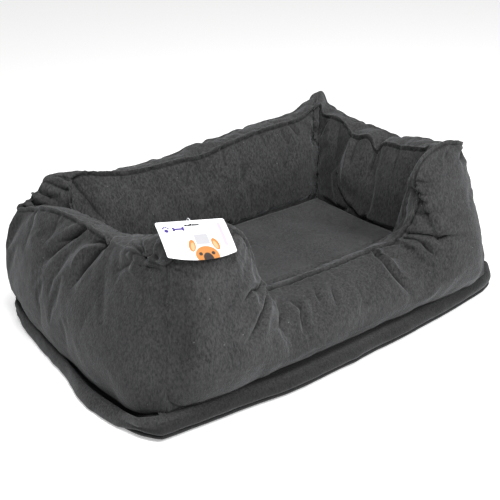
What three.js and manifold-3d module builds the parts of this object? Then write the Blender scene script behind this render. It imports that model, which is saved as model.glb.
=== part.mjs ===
// A pet cushion bed: a stuffed base pad, four stuffed walls sewn to it, and a loose cushion in the well.
// The front wall is low in the middle, so that the animal can walk in between two tall ears.
// Millimetres, +Z up, +X to the right, the entry faces -Y. The origin is on the floor under the middle.
// Every wall is a bag of four pieces: outer panel, inner panel, top gusset and fibre filling.
import * as THREE from "three";
import { ParametricGeometry } from "three/addons/geometries/ParametricGeometry.js";
import { mergeGeometries, mergeVertices } from "three/addons/utils/BufferGeometryUtils.js";
import Module from "manifold-3d";

const wasm = await Module();
wasm.setup();

// ---- driving dimensions ----
const BED_WIDTH = 800; // between the seams that join the left and right walls to the base
const BED_DEPTH = 520; // between the seams that join the front and back walls to the base
const CLOTH = 2; // cover cloth with its lining
const GAP = 0.3; // air between pieces that touch

const PAD_HEIGHT = 42; // base pad, floor to deck
const PAD_CORNER = 26; // corner radius of the base pad in plan
const PAD_SWELL = 27; // how far the middle of each side of the pad bulges past its corners
const UNDERSIDE_TURN_UP = 14; // height of the underside cloth where it turns up round the rim

const WALL_FOOT_INSET = 14; // foot of a wall's outer face, in from the base seam
const WALL_BULGE = 12; // how far the outer face swells back out over the base
const WALL_THICKNESS = 118; // a wall at its foot, outer face to inner face
const LEAN_IN = 57; // top seam of the outer panel, in from the base seam
const GUSSET_WIDTH = 40; // strip along the top of every wall
const MITRE_FAN = 20; // length of a wall's foot, at each end, over which it fans out into its mitre

const SIDE_SAG = 32; // how far the top line of a side or back wall drops between its corners
const CORNER_HEIGHTS = { frontLeft: 297, frontRight: 321, backRight: 320, backLeft: 284 };

const ENTRY_HEIGHT = 150; // top of the low middle of the front wall
const ENTRY_SEAM_OUT = 56; // outer seam of the low middle, out from the inner face's foot
const ENTRY_INNER_DROP = 22; // the low gusset slopes down to the cushion by this much
// The ears at the two ends of the front wall: where each peaks, where it starts to come down and where it ends.
const EARS = {
  left: { peakAt: -300, peakHeight: 306, shoulderAt: -196, shoulderHeight: 290, footAt: -136 },
  right: { peakAt: 290, peakHeight: 337, shoulderAt: 240, shoulderHeight: 329, footAt: 190 },
};

const CUSHION_HEIGHT = 72;
const CUSHION_CLEARANCE = 2; // loose cushion to wall
const CUSHION_CORNER = 34;
const CUSHION_ROUND = 22; // rounding of the cushion's top and bottom edges

const CARD_WIDTH = 124;
const CARD_HEIGHT = 64; // at its two sides
const CARD_BOW = 9; // how much lower the arched lower edge is in its middle
const CARD_THICKNESS = 0.6;
const CARD_CORNER = 4;
const CARD_SLOT = { width: 27, height: 6.4, below: 9 }; // hang slot, its centre below the top edge
const CARD_CURL = 4; // how far the lower edge bends down over the ear
const CARD_CLEARANCE = 5; // card over the ear's outer seam, under the card's middle
const CARD_MIDDLE_X = -281;
const CARD_BELOW_SEAM = 0.5; // share of the card's height that hangs in front of the ear's outer seam
const CARD_TILT = { rise: 31, yaw: -6, roll: 10 }; // degrees
const LOOP_RADIUS = 0.6; // the plastic filament that holds the card
const LOOP_CLEARANCE = 4; // under the loop's lowest point

const CLOTH_GREY = 0x464646;
const UNDERSIDE_GREY = 0x2c2c2c;
const FIBRE_WHITE = 0xe9e7e1;
const CARD_WHITE = 0xf4f4f6;
const CLEAR_PLASTIC = 0xdfe3e6;

// ---- materials ----
const cloth = () => new THREE.MeshStandardMaterial({ color: CLOTH_GREY, roughness: 0.95, metalness: 0 });
const undersideCloth = () => new THREE.MeshStandardMaterial({ color: UNDERSIDE_GREY, roughness: 0.8, metalness: 0 });
const fibre = () => new THREE.MeshStandardMaterial({ color: FIBRE_WHITE, roughness: 1, metalness: 0 });
const card = () => new THREE.MeshStandardMaterial({ color: CARD_WHITE, roughness: 0.4, metalness: 0 });
const plastic = () => new THREE.MeshStandardMaterial({ color: CLEAR_PLASTIC, roughness: 0.3, metalness: 0 });

// ---- helpers ----
const mix = (a, b, t) => a + (b - a) * t;
const share = (x, from, to) => THREE.MathUtils.clamp((x - from) / (to - from), 0, 1);
const eased = (x, from, to) => THREE.MathUtils.smoothstep(share(x, from, to), 0, 1);
const radians = THREE.MathUtils.degToRad;

function welded(geometry) {
  const bare = geometry.index ? geometry.toNonIndexed() : geometry.clone();
  for (const name of ["normal", "uv"]) bare.deleteAttribute(name);
  return mergeVertices(bare, 1e-3);
}

function toSolid(geometry) {
  const merged = welded(geometry);
  return new wasm.Manifold(
    new wasm.Mesh({
      numProp: 3,
      vertProperties: merged.attributes.position.array,
      triVerts: new Uint32Array(merged.index.array),
    }),
  );
}

function toGeometry(solid) {
  const mesh = solid.getMesh();
  return new THREE.BufferGeometry()
    .setAttribute("position", new THREE.BufferAttribute(new Float32Array(mesh.vertProperties), 3))
    .setIndex(new THREE.BufferAttribute(new Uint32Array(mesh.triVerts), 1));
}

function named(name, geometry, material) {
  const mesh = new THREE.Mesh(geometry, material);
  mesh.name = name;
  return mesh;
}

// A patch of a surface over the unit square. Its face looks along du x dv, or the other way when it is turned over.
function patch(surface, across, along, turnedOver = false) {
  const geometry = new ParametricGeometry(surface, across, along);
  if (turnedOver) geometry.index.array.reverse();
  return geometry;
}

// A closed body between two surfaces over the same unit square: the two faces, and a strip along each of the four
// edges. Both faces are cut into triangles the same way, so two thin bodies in a stack never cross.
function between(front, back, across, along) {
  const a = new THREE.Vector3();
  const b = new THREE.Vector3();
  const strip = (u, v, w, target) => {
    front(u, v, a);
    back(u, v, b);
    target.lerpVectors(a, b, w);
  };
  const patches = [
    patch(front, across, along),
    patch(back, across, along, true),
    patch((w, v, p) => strip(0, v, w, p), 1, along, true),
    patch((w, v, p) => strip(1, v, w, p), 1, along),
    patch((u, w, p) => strip(u, 0, w, p), across, 1, true),
    patch((u, w, p) => strip(u, 1, w, p), across, 1),
  ];
  return welded(mergeGeometries(patches));
}

// ---- base pad ----
// Plan of the pad, with every side swelling out between its corners.
function padOutline(inset) {
  const x = BED_WIDTH / 2 - inset;
  const y = BED_DEPTH / 2 - inset;
  const r = PAD_CORNER - inset;
  const s = 2 * PAD_SWELL;
  const shape = new THREE.Shape();
  shape.moveTo(-x + r, -y);
  shape.quadraticCurveTo(0, -y - s, x - r, -y);
  shape.quadraticCurveTo(x, -y, x, -y + r);
  shape.quadraticCurveTo(x + s, 0, x, y - r);
  shape.quadraticCurveTo(x, y, x - r, y);
  shape.quadraticCurveTo(0, y + s, -x + r, y);
  shape.quadraticCurveTo(-x, y, -x, y - r);
  shape.quadraticCurveTo(-x - s, 0, -x, -y + r);
  shape.quadraticCurveTo(-x, -y, -x + r, -y);
  return shape;
}

const padSlab = (inset, low, high) =>
  new THREE.ExtrudeGeometry(padOutline(inset), { depth: high - low, bevelEnabled: false, curveSegments: 14 })
    .translate(0, 0, low);

function basePad() {
  const group = new THREE.Group();
  const inside = CLOTH + GAP;
  const tray = toSolid(padSlab(0, 0, UNDERSIDE_TURN_UP)).subtract(
    toSolid(padSlab(CLOTH, CLOTH, UNDERSIDE_TURN_UP + CLOTH)),
  );
  const bandLow = UNDERSIDE_TURN_UP + GAP;
  const band = toSolid(padSlab(0, bandLow, PAD_HEIGHT)).subtract(
    toSolid(padSlab(CLOTH, bandLow - CLOTH, PAD_HEIGHT + CLOTH)),
  );
  group.add(
    named("underside_panel", toGeometry(tray), undersideCloth()),
    named("base_band", toGeometry(band), cloth()),
    named("base_filling", padSlab(inside, inside, PAD_HEIGHT - inside), fibre()),
    named("deck_panel", padSlab(inside, PAD_HEIGHT - CLOTH, PAD_HEIGHT), cloth()),
  );
  return group;
}

// ---- walls ----
// A wall is described in its own frame, as the front wall: along = -1..1 from its left corner to its right one,
// inset = how far in from the base seam, z = height. Its outer face and inner face are curves up from the foot.
const FOOT = PAD_HEIGHT + GAP;
const INNER_FOOT_INSET = WALL_FOOT_INSET + WALL_THICKNESS;
const TOP_STACK = CLOTH + GAP; // the gusset and the air under it
const FILLING_SHORT = 2; // the filling's upper edges are this far below the panels' own

const FRONT_HALF = BED_WIDTH / 2 - LEAN_IN;
const earAt = (x) => (x < 0 ? EARS.left : EARS.right);

// How far the front wall has dropped at a place along it: 0 on the ears, 1 in the entry.
function entryDrop(along) {
  const x = along * FRONT_HALF;
  const ear = earAt(x);
  return eased(x, ear.shoulderAt, ear.footAt);
}

function frontTop(along) {
  const x = along * FRONT_HALF;
  const ear = earAt(x);
  const corner = x < 0 ? CORNER_HEIGHTS.frontLeft : CORNER_HEIGHTS.frontRight;
  const crest = mix(ear.peakHeight, ear.shoulderHeight, share(x, ear.peakAt, ear.shoulderAt));
  const line = mix(crest, corner, eased(Math.abs(x), Math.abs(ear.peakAt), FRONT_HALF));
  return mix(line, ENTRY_HEIGHT, entryDrop(along));
}

const sagging = (left, right) => (along) =>
  mix(left, right, (along + 1) / 2) - SIDE_SAG * (1 - Math.abs(along) ** 3);

// The two section curves of a wall at a place along it. x is the inset and y is the height.
function section(wall, along) {
  const top = wall.top(along) - TOP_STACK;
  const low = wall.drop(along);
  const rise = top - FOOT;
  const outerSeam = mix(LEAN_IN, INNER_FOOT_INSET - ENTRY_SEAM_OUT, low);
  const innerSeam = outerSeam + GUSSET_WIDTH;
  const innerTop = top - ENTRY_INNER_DROP * low;
  const outer = new THREE.CubicBezierCurve(
    new THREE.Vector2(WALL_FOOT_INSET, FOOT),
    new THREE.Vector2(WALL_FOOT_INSET - 2 * WALL_BULGE, FOOT + 0.35 * rise),
    new THREE.Vector2(mix(5, 12, low), FOOT + mix(0.72, 1, low) * rise),
    new THREE.Vector2(outerSeam, top),
  );
  const inner = new THREE.CubicBezierCurve(
    new THREE.Vector2(INNER_FOOT_INSET, FOOT),
    new THREE.Vector2(INNER_FOOT_INSET, FOOT + 0.4 * (innerTop - FOOT)),
    new THREE.Vector2(INNER_FOOT_INSET - 2, FOOT + 0.75 * (innerTop - FOOT)),
    new THREE.Vector2(innerSeam, innerTop),
  );
  return { outer, inner };
}

// The point `depth` behind a section curve, on the side of the filling. side is +1 on the outer face, -1 on the inner.
function behind(curve, t, depth, side) {
  const point = curve.getPoint(t);
  const tangent = curve.getTangent(t);
  return point.add(new THREE.Vector2(tangent.y, -tangent.x).multiplyScalar(depth * side));
}

// Puts a section point in the wall's frame. The middle of a wall is straight across. Towards its ends it fans out
// into the mitres, so a wall is shorter where it is further in.
function place(wall, along, point, target) {
  const seamHalf = wall.length / 2 - LEAN_IN;
  const straightHalf = wall.length / 2 - INNER_FOOT_INSET - MITRE_FAN;
  const mitreHalf = wall.length / 2 - point.x - GAP;
  const x = Math.abs(along) * seamHalf;
  const half = x < straightHalf ? x : mix(straightHalf, mitreHalf, share(x, straightHalf, seamHalf));
  target.set(Math.sign(along) * half, point.x - wall.setback, Math.max(point.y, FOOT));
}

// One face of a wall, `depth` in from its outside. Its upper edge is lowered by `short`, which takes it inwards.
function faceSurface(wall, which, depth, short = 0) {
  const side = which === "outer" ? 1 : -1;
  return (u, v, target) => {
    const along = 2 * v - 1;
    const point = behind(section(wall, along)[which], u, depth, side);
    point.y -= short * u ** 4;
    place(wall, along, point, target);
  };
}

function gussetSurface(wall, lift) {
  return (u, v, target) => {
    const along = 2 * v - 1;
    const { outer, inner } = section(wall, along);
    const point = new THREE.Vector2().lerpVectors(inner.v3, outer.v3, u);
    point.y += GAP + lift;
    place(wall, along, point, target);
  };
}

function buildWall(wall) {
  const group = new THREE.Group();
  const [up, along] = [wall.upSteps, wall.alongSteps];
  const inside = CLOTH + GAP;
  group.add(
    named(
      `${wall.name}_outer_panel`,
      between(faceSurface(wall, "outer", CLOTH), faceSurface(wall, "outer", 0), up, along),
      cloth(),
    ),
    named(
      `${wall.name}_inner_panel`,
      between(faceSurface(wall, "inner", 0), faceSurface(wall, "inner", CLOTH), up, along),
      cloth(),
    ),
    named(
      `${wall.name}_gusset`,
      between(gussetSurface(wall, CLOTH), gussetSurface(wall, 0), 1, along),
      cloth(),
    ),
    named(
      `${wall.name}_filling`,
      between(
        faceSurface(wall, "inner", inside, FILLING_SHORT),
        faceSurface(wall, "outer", inside, FILLING_SHORT),
        up,
        along,
      ),
      fibre(),
    ),
  );
  group.rotation.z = wall.turn;
  return group;
}

const noDrop = () => 0;
const C = CORNER_HEIGHTS;
const WALLS = [
  { name: "front_wall", length: BED_WIDTH, setback: BED_DEPTH / 2, turn: 0, top: frontTop, drop: entryDrop,
    upSteps: 9, alongSteps: 60 },
  { name: "right_wall", length: BED_DEPTH, setback: BED_WIDTH / 2, turn: Math.PI / 2,
    top: sagging(C.frontRight, C.backRight), drop: noDrop, upSteps: 9, alongSteps: 14 },
  { name: "back_wall", length: BED_WIDTH, setback: BED_DEPTH / 2, turn: Math.PI,
    top: sagging(C.backRight, C.backLeft), drop: noDrop, upSteps: 9, alongSteps: 14 },
  { name: "left_wall", length: BED_DEPTH, setback: BED_WIDTH / 2, turn: -Math.PI / 2,
    top: sagging(C.backLeft, C.frontLeft), drop: noDrop, upSteps: 9, alongSteps: 14 },
];

// ---- loose cushion ----
// A pillow block with rounded edges: `inset` in from the cushion's outside on every side.
function cushionBlock(inset) {
  const x = BED_WIDTH / 2 - INNER_FOOT_INSET - CUSHION_CLEARANCE - CUSHION_ROUND;
  const y = BED_DEPTH / 2 - INNER_FOOT_INSET - CUSHION_CLEARANCE - CUSHION_ROUND;
  const r = CUSHION_CORNER - CUSHION_ROUND;
  const shape = new THREE.Shape();
  shape.moveTo(-x + r, -y);
  shape.lineTo(x - r, -y);
  shape.absarc(x - r, -y + r, r, -Math.PI / 2, 0);
  shape.lineTo(x, y - r);
  shape.absarc(x - r, y - r, r, 0, Math.PI / 2);
  shape.lineTo(-x + r, y);
  shape.absarc(-x + r, y - r, r, Math.PI / 2, Math.PI);
  shape.lineTo(-x, -y + r);
  shape.absarc(-x + r, -y + r, r, Math.PI, 1.5 * Math.PI);
  const round = CUSHION_ROUND - inset;
  return new THREE.ExtrudeGeometry(shape, {
    depth: CUSHION_HEIGHT - 2 * CUSHION_ROUND,
    bevelThickness: round,
    bevelSize: round,
    bevelSegments: 4,
    curveSegments: 4,
  }).translate(0, 0, FOOT + CUSHION_ROUND);
}

function cushionCover(low, high) {
  const slab = new THREE.BoxGeometry(2 * BED_WIDTH, 2 * BED_DEPTH, high - low).translate(0, 0, (low + high) / 2);
  const skin = toSolid(cushionBlock(0)).subtract(toSolid(cushionBlock(CLOTH)));
  return toGeometry(skin.intersect(toSolid(slab)));
}

function looseCushion() {
  const group = new THREE.Group();
  const seam = FOOT + CUSHION_HEIGHT / 2;
  group.add(
    named("cushion_top_cover", cushionCover(seam + GAP / 2, seam + CUSHION_HEIGHT), cloth()),
    named("cushion_bottom_cover", cushionCover(seam - CUSHION_HEIGHT, seam - GAP / 2), cloth()),
    named("cushion_filling", cushionBlock(CLOTH + GAP), fibre()),
  );
  return group;
}

// ---- hang card on the left ear ----
// The card's own frame: +X across it, +Y up it, +Z out of its printed face, origin at the middle of the hang slot.
const CARD_TOP = CARD_SLOT.below;
const CARD_FOOT = CARD_SLOT.below - CARD_HEIGHT;

function cardOutline() {
  const x = CARD_WIDTH / 2;
  const r = CARD_CORNER;
  const shape = new THREE.Shape();
  shape.moveTo(-x + r, CARD_FOOT);
  shape.quadraticCurveTo(0, CARD_FOOT - 2 * CARD_BOW, x - r, CARD_FOOT);
  shape.absarc(x - r, CARD_FOOT + r, r, -Math.PI / 2, 0);
  shape.lineTo(x, CARD_TOP - r);
  shape.absarc(x - r, CARD_TOP - r, r, 0, Math.PI / 2);
  shape.lineTo(-x + r, CARD_TOP);
  shape.absarc(-x + r, CARD_TOP - r, r, Math.PI / 2, Math.PI);
  shape.lineTo(-x, CARD_FOOT + r);
  shape.absarc(-x + r, CARD_FOOT + r, r, Math.PI, 1.5 * Math.PI);
  return shape;
}

// A slot with round ends, and a shallow point in the middle of its upper side for the hook.
function cardSlot() {
  const r = CARD_SLOT.height / 4;
  const x = CARD_SLOT.width / 2 - r;
  const peak = CARD_SLOT.height / 2;
  const hole = new THREE.Path();
  hole.moveTo(-x, -r);
  hole.absarc(-x, 0, r, 1.5 * Math.PI, 0.5 * Math.PI, true);
  hole.lineTo(-1.6 * peak, r);
  hole.lineTo(0, peak);
  hole.lineTo(1.6 * peak, r);
  hole.absarc(x, 0, r, 0.5 * Math.PI, -0.5 * Math.PI, true);
  hole.lineTo(-x, -r);
  return hole;
}

function hangCard() {
  const slices = 8;
  const lowest = CARD_FOOT - CARD_BOW - 1;
  const highest = CARD_TOP + 1;
  const sheet = (z) => (u, v, p) => {
    const y = mix(lowest, highest, v);
    const curl = CARD_CURL * share(y, 0, CARD_FOOT) ** 2;
    p.set(mix(-CARD_WIDTH, CARD_WIDTH, u), y, z - curl);
  };
  const curved = toSolid(between(sheet(0), sheet(-CARD_THICKNESS), 1, slices));
  const outline = cardOutline();
  outline.holes.push(cardSlot());
  const cutter = new THREE.ExtrudeGeometry(outline, { depth: 8 * CARD_CURL, bevelEnabled: false, curveSegments: 8 })
    .translate(0, 0, -6 * CARD_CURL);
  return named("hang_card", toGeometry(curved.intersect(toSolid(cutter))), card());
}

// The loop goes through the slot, over the card's top edge and down behind the card to the gusset.
// Its points are in a plane across the card: x is out behind the card and level, y is up.
function filamentLoop(drop) {
  const lift = radians(CARD_TILT.rise);
  const at = (upCard, outOfCard) =>
    new THREE.Vector3(0, upCard * Math.cos(lift) - outOfCard * Math.sin(lift),
      upCard * Math.sin(lift) + outOfCard * Math.cos(lift));
  const points = [
    at(0, 0),
    at(1, 3),
    at(CARD_TOP * 0.6, 4),
    at(CARD_TOP + 3.4, 2),
    at(CARD_TOP + 3.6, -4),
    at(CARD_TOP + 0.5, -10),
    new THREE.Vector3(0, 9, -drop + 3),
    new THREE.Vector3(0, 7, -drop),
    new THREE.Vector3(0, 5, -drop + 4),
    at(-1, -7),
  ];
  const path = new THREE.CatmullRomCurve3(points, true);
  return new THREE.TubeGeometry(path, 48, LOOP_RADIUS, 6, true);
}

function cardAndLoop() {
  const group = new THREE.Group();
  const earTop = frontTop(CARD_MIDDLE_X / FRONT_HALF);
  const seamY = LEAN_IN - BED_DEPTH / 2;
  const rise = radians(CARD_TILT.rise);
  const upCard = CARD_HEIGHT * CARD_BELOW_SEAM - CARD_TOP;
  const slotY = seamY + upCard * Math.cos(rise);
  const slotZ = earTop + CARD_CLEARANCE + upCard * Math.sin(rise);
  const turned = new THREE.Group();
  turned.rotation.order = "ZYX";
  turned.rotation.set(rise, radians(CARD_TILT.roll), radians(CARD_TILT.yaw));
  turned.add(hangCard());
  const loop = named("tag_loop", filamentLoop(slotZ - earTop - LOOP_RADIUS - LOOP_CLEARANCE), plastic());
  group.position.set(CARD_MIDDLE_X, slotY, slotZ);
  group.add(turned, loop);
  return group;
}

// ---- the bed ----
const bed = new THREE.Group();
bed.add(basePad(), ...WALLS.map(buildWall), looseCushion(), cardAndLoop());

export default bed;
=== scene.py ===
"""A stuffed pet bed: four sewn walls round a loose cushion, on a stuffed base pad, and a hung card.

Metres, +Z up, the low entry faces -Y. Every soft piece stands for the plain solids of the frame.
"""

import logging
import math
from dataclasses import dataclass, field
from enum import Enum
from typing import Iterable, Sequence

import bmesh
import bpy
import numpy as np
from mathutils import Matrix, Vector


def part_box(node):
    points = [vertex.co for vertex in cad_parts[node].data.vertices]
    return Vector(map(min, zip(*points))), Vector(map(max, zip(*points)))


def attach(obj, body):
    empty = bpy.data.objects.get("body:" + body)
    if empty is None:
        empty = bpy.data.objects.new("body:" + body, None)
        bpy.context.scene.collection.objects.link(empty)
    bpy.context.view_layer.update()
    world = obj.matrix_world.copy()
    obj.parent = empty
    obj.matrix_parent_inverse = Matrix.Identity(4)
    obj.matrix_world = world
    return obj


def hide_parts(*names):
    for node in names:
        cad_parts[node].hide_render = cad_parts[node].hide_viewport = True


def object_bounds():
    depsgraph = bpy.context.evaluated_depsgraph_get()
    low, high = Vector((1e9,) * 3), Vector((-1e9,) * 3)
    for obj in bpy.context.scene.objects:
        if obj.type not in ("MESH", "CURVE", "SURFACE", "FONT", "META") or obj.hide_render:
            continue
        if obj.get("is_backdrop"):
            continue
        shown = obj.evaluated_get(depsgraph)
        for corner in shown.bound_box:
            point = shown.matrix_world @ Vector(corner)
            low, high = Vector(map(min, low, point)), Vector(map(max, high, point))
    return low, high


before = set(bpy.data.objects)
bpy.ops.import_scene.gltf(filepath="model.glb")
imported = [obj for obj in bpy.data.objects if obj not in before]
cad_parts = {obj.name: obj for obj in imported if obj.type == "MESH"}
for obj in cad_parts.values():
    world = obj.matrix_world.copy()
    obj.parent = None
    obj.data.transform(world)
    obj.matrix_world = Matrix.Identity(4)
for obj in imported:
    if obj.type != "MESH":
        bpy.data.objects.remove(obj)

LOG = logging.getLogger("pet_bed")
MM = 0.001
Array = np.ndarray


# ---------------------------------------------------------------- small maths


def eased(value: Array | float, low: float, high: float) -> Array | float:
    """Smooth step from 0 at low to 1 at high."""
    share = np.clip((np.asarray(value, float) - low) / (high - low), 0.0, 1.0)
    return share * share * (3.0 - 2.0 * share)


def mixed(a: Array | float, b: Array | float, share: Array | float) -> Array | float:
    """a where share is 0, b where it is 1."""
    return a + (b - a) * share


def spline(knots: Array, count_between: Sequence[int]) -> Array:
    """Passes a smooth curve through knots.

    Args:
        knots: One row for each knot, any number of columns.
        count_between: How many steps each stretch between two knots is cut into.

    Returns:
        The points on the curve, the last knot included.
    """
    padded = np.vstack([2 * knots[0] - knots[1], knots, 2 * knots[-1] - knots[-2]])
    rows = []
    for i, steps in enumerate(count_between):
        p0, p1, p2, p3 = padded[i : i + 4]
        t = (np.arange(steps) / steps)[:, None]
        tangent_1, tangent_2 = 0.5 * (p2 - p0), 0.5 * (p3 - p1)
        rows.append(
            (2 * t**3 - 3 * t**2 + 1) * p1
            + (t**3 - 2 * t**2 + t) * tangent_1
            + (3 * t**2 - 2 * t**3) * p2
            + (t**3 - t**2) * tangent_2
        )
    rows.append(knots[-1:])
    return np.vstack(rows)


def bezier(p0: Array, p1: Array, p2: Array, p3: Array, t: Array) -> Array:
    """Points at t on a cubic curve; each p has one row for each curve, and t one entry for each point."""
    t = t[None, :, None]
    p0, p1, p2, p3 = (p[:, None, :] for p in (p0, p1, p2, p3))
    return (1 - t) ** 3 * p0 + 3 * (1 - t) ** 2 * t * p1 + 3 * (1 - t) * t**2 * p2 + t**3 * p3


def value_noise(points: Array, size: float, seed: int) -> Array:
    """Smooth noise from -1 to 1 at points in space.

    Args:
        points: One row for each point.
        size: The distance over which the noise changes.
        seed: Which noise.

    Returns:
        One value for each point.
    """
    table = np.random.default_rng(seed).uniform(-1.0, 1.0, (16, 16, 16))
    scaled = points / size + 50.0
    cell = np.floor(scaled).astype(int)
    part = scaled - cell
    part = part * part * (3 - 2 * part)
    total = np.zeros(len(points))
    for corner in np.ndindex(2, 2, 2):
        weight = np.ones(len(points))
        for axis in range(3):
            weight *= part[:, axis] if corner[axis] else 1 - part[:, axis]
        index = tuple((cell[:, axis] + corner[axis]) % 16 for axis in range(3))
        total += weight * table[index]
    return total


# ---------------------------------------------------------------- grids of points


def grid_normals(points: Array, wrap: bool) -> Array:
    """Unit normals of a grid of points, rows wrapping round.

    Args:
        points: Columns by rows by 3.
        wrap: Whether the columns go all the way round as well.

    Returns:
        The normals, with the same shape.
    """
    if wrap:
        along = np.roll(points, -1, 0) - np.roll(points, 1, 0)
    else:
        along = np.gradient(points, axis=0)
    up = np.roll(points, -1, 1) - np.roll(points, 1, 1)
    normals = np.cross(along, up)
    return normals / np.maximum(np.linalg.norm(normals, axis=2, keepdims=True), 1e-12)


def refine_rows(points: Array, axis: int) -> Array:
    """Doubles a wrapping grid's points along an axis; the new ones lie on a smooth curve."""
    before, here = np.roll(points, 1, axis), points
    after, second = np.roll(points, -1, axis), np.roll(points, -2, axis)
    between = (-before + 9 * here + 9 * after - second) / 16
    stacked = np.stack([here, between], axis=axis + 1)
    shape = list(points.shape)
    shape[axis] *= 2
    return stacked.reshape(shape)


def piece_from(name: str, vertices: Array, faces: Iterable[Sequence[int]]) -> bpy.types.Object:
    """Makes a smooth-shaded mesh object at the origin.

    Args:
        name: The piece's name.
        vertices: One row for each point, in metres.
        faces: Vertex numbers of each face, anticlockwise from outside.

    Returns:
        The new object.
    """
    mesh = bpy.data.meshes.new(name)
    mesh.from_pydata([tuple(v) for v in vertices], [], [tuple(int(i) for i in f) for f in faces])
    mesh.validate()
    mesh.polygons.foreach_set("use_smooth", [True] * len(mesh.polygons))
    mesh.update()
    made = bpy.data.objects.new(name, mesh)
    bpy.context.scene.collection.objects.link(made)
    return made


def paint_hollow_shade(piece: bpy.types.Object, depth: Array) -> None:
    """Stores each point's painted shade, which darkens the cloth's colour; it is deepest in creases and seams.

    Args:
        piece: The piece.
        depth: The painted shade, one value from 0 to 1 for each point.
    """
    layer = piece.data.attributes.new("hollow", "FLOAT", "POINT")
    layer.data.foreach_set("value", np.clip(depth, 0.0, 1.0).astype(np.float32))


def grid_faces(columns: int, rows: int, wrap_columns: bool) -> Array:
    """Quads of a grid whose rows wrap round.

    Args:
        columns: How many columns of points.
        rows: How many points in each column.
        wrap_columns: Whether the last column joins the first.

    Returns:
        One row of four vertex numbers for each quad.
    """
    last = columns if wrap_columns else columns - 1
    i, j = np.meshgrid(np.arange(last), np.arange(rows), indexing="ij")
    ni, nj = (i + 1) % columns, (j + 1) % rows
    quads = np.stack([i * rows + j, ni * rows + j, ni * rows + nj, i * rows + nj], axis=-1)
    return quads.reshape(-1, 4)


# ---------------------------------------------------------------- cloth simulation


@dataclass(frozen=True)
class Stuffing:
    """How cloth is blown up over its filling.

    Attributes:
        pressure: Push of the filling.
        spare: Share by which the cloth is cut larger than its pattern, which makes the puckers.
        bending: Stiffness against folding.
        frames: Steps of the simulation.
        stretch: Stiffness against stretching and squeezing.
        shear: Stiffness against sliding out of square.
    """

    pressure: float = 4.0
    spare: float = 0.018
    bending: float = 1.2
    frames: int = 18
    stretch: float = 18.0
    shear: float = 6.0


def stuffed(vertices: Array, faces: Array, held: Array, stuffing: Stuffing, cap: Array) -> Array:
    """Blows a closed cloth skin up over its filling, with its seams held.

    Args:
        vertices: The skin's points.
        faces: Its quads.
        held: True for the points that a seam holds.
        stuffing: The cloth's numbers.
        cap: Furthest move of each point, in metres.

    Returns:
        The moved points.
    """
    skin = piece_from("skin", vertices, faces)
    group = skin.vertex_groups.new(name="seams")
    group.add([int(i) for i in np.flatnonzero(held)], 1.0, "ADD")
    cloth = skin.modifiers.new("cloth", "CLOTH")
    settings = cloth.settings
    settings.quality = 5
    settings.mass = 0.3
    settings.air_damping = 4.0
    settings.tension_stiffness = stuffing.stretch
    settings.compression_stiffness = stuffing.stretch
    settings.shear_stiffness = stuffing.shear
    settings.bending_stiffness = stuffing.bending
    settings.shrink_min = -stuffing.spare
    settings.shrink_max = -stuffing.spare
    settings.use_pressure = True
    settings.uniform_pressure_force = stuffing.pressure
    settings.effector_weights.gravity = 0.0
    settings.vertex_group_mass = "seams"
    settings.pin_stiffness = 1.0
    cloth.collision_settings.use_collision = False
    cloth.point_cache.frame_start = 1
    cloth.point_cache.frame_end = stuffing.frames
    scene = bpy.context.scene
    for number in range(1, stuffing.frames + 1):
        scene.frame_set(number)
    graph = bpy.context.evaluated_depsgraph_get()
    result = skin.evaluated_get(graph).to_mesh()
    moved = np.empty(len(vertices) * 3)
    result.vertices.foreach_get("co", moved)
    skin.evaluated_get(graph).to_mesh_clear()
    scene.frame_set(1)
    mesh = skin.data
    bpy.data.objects.remove(skin)
    bpy.data.meshes.remove(mesh)
    step = moved.reshape(-1, 3) - vertices
    length = np.linalg.norm(step, axis=1, keepdims=True)
    return vertices + step * np.minimum(1.0, cap.reshape(-1, 1) / np.maximum(length, 1e-9))


# ---------------------------------------------------------------- folds and creases


class Side(Enum):
    """The strips of cloth that a wall is sewn from, numbered up over the wall from its outer foot."""

    OUTER = 0
    GUSSET = 1
    INNER = 2


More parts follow.
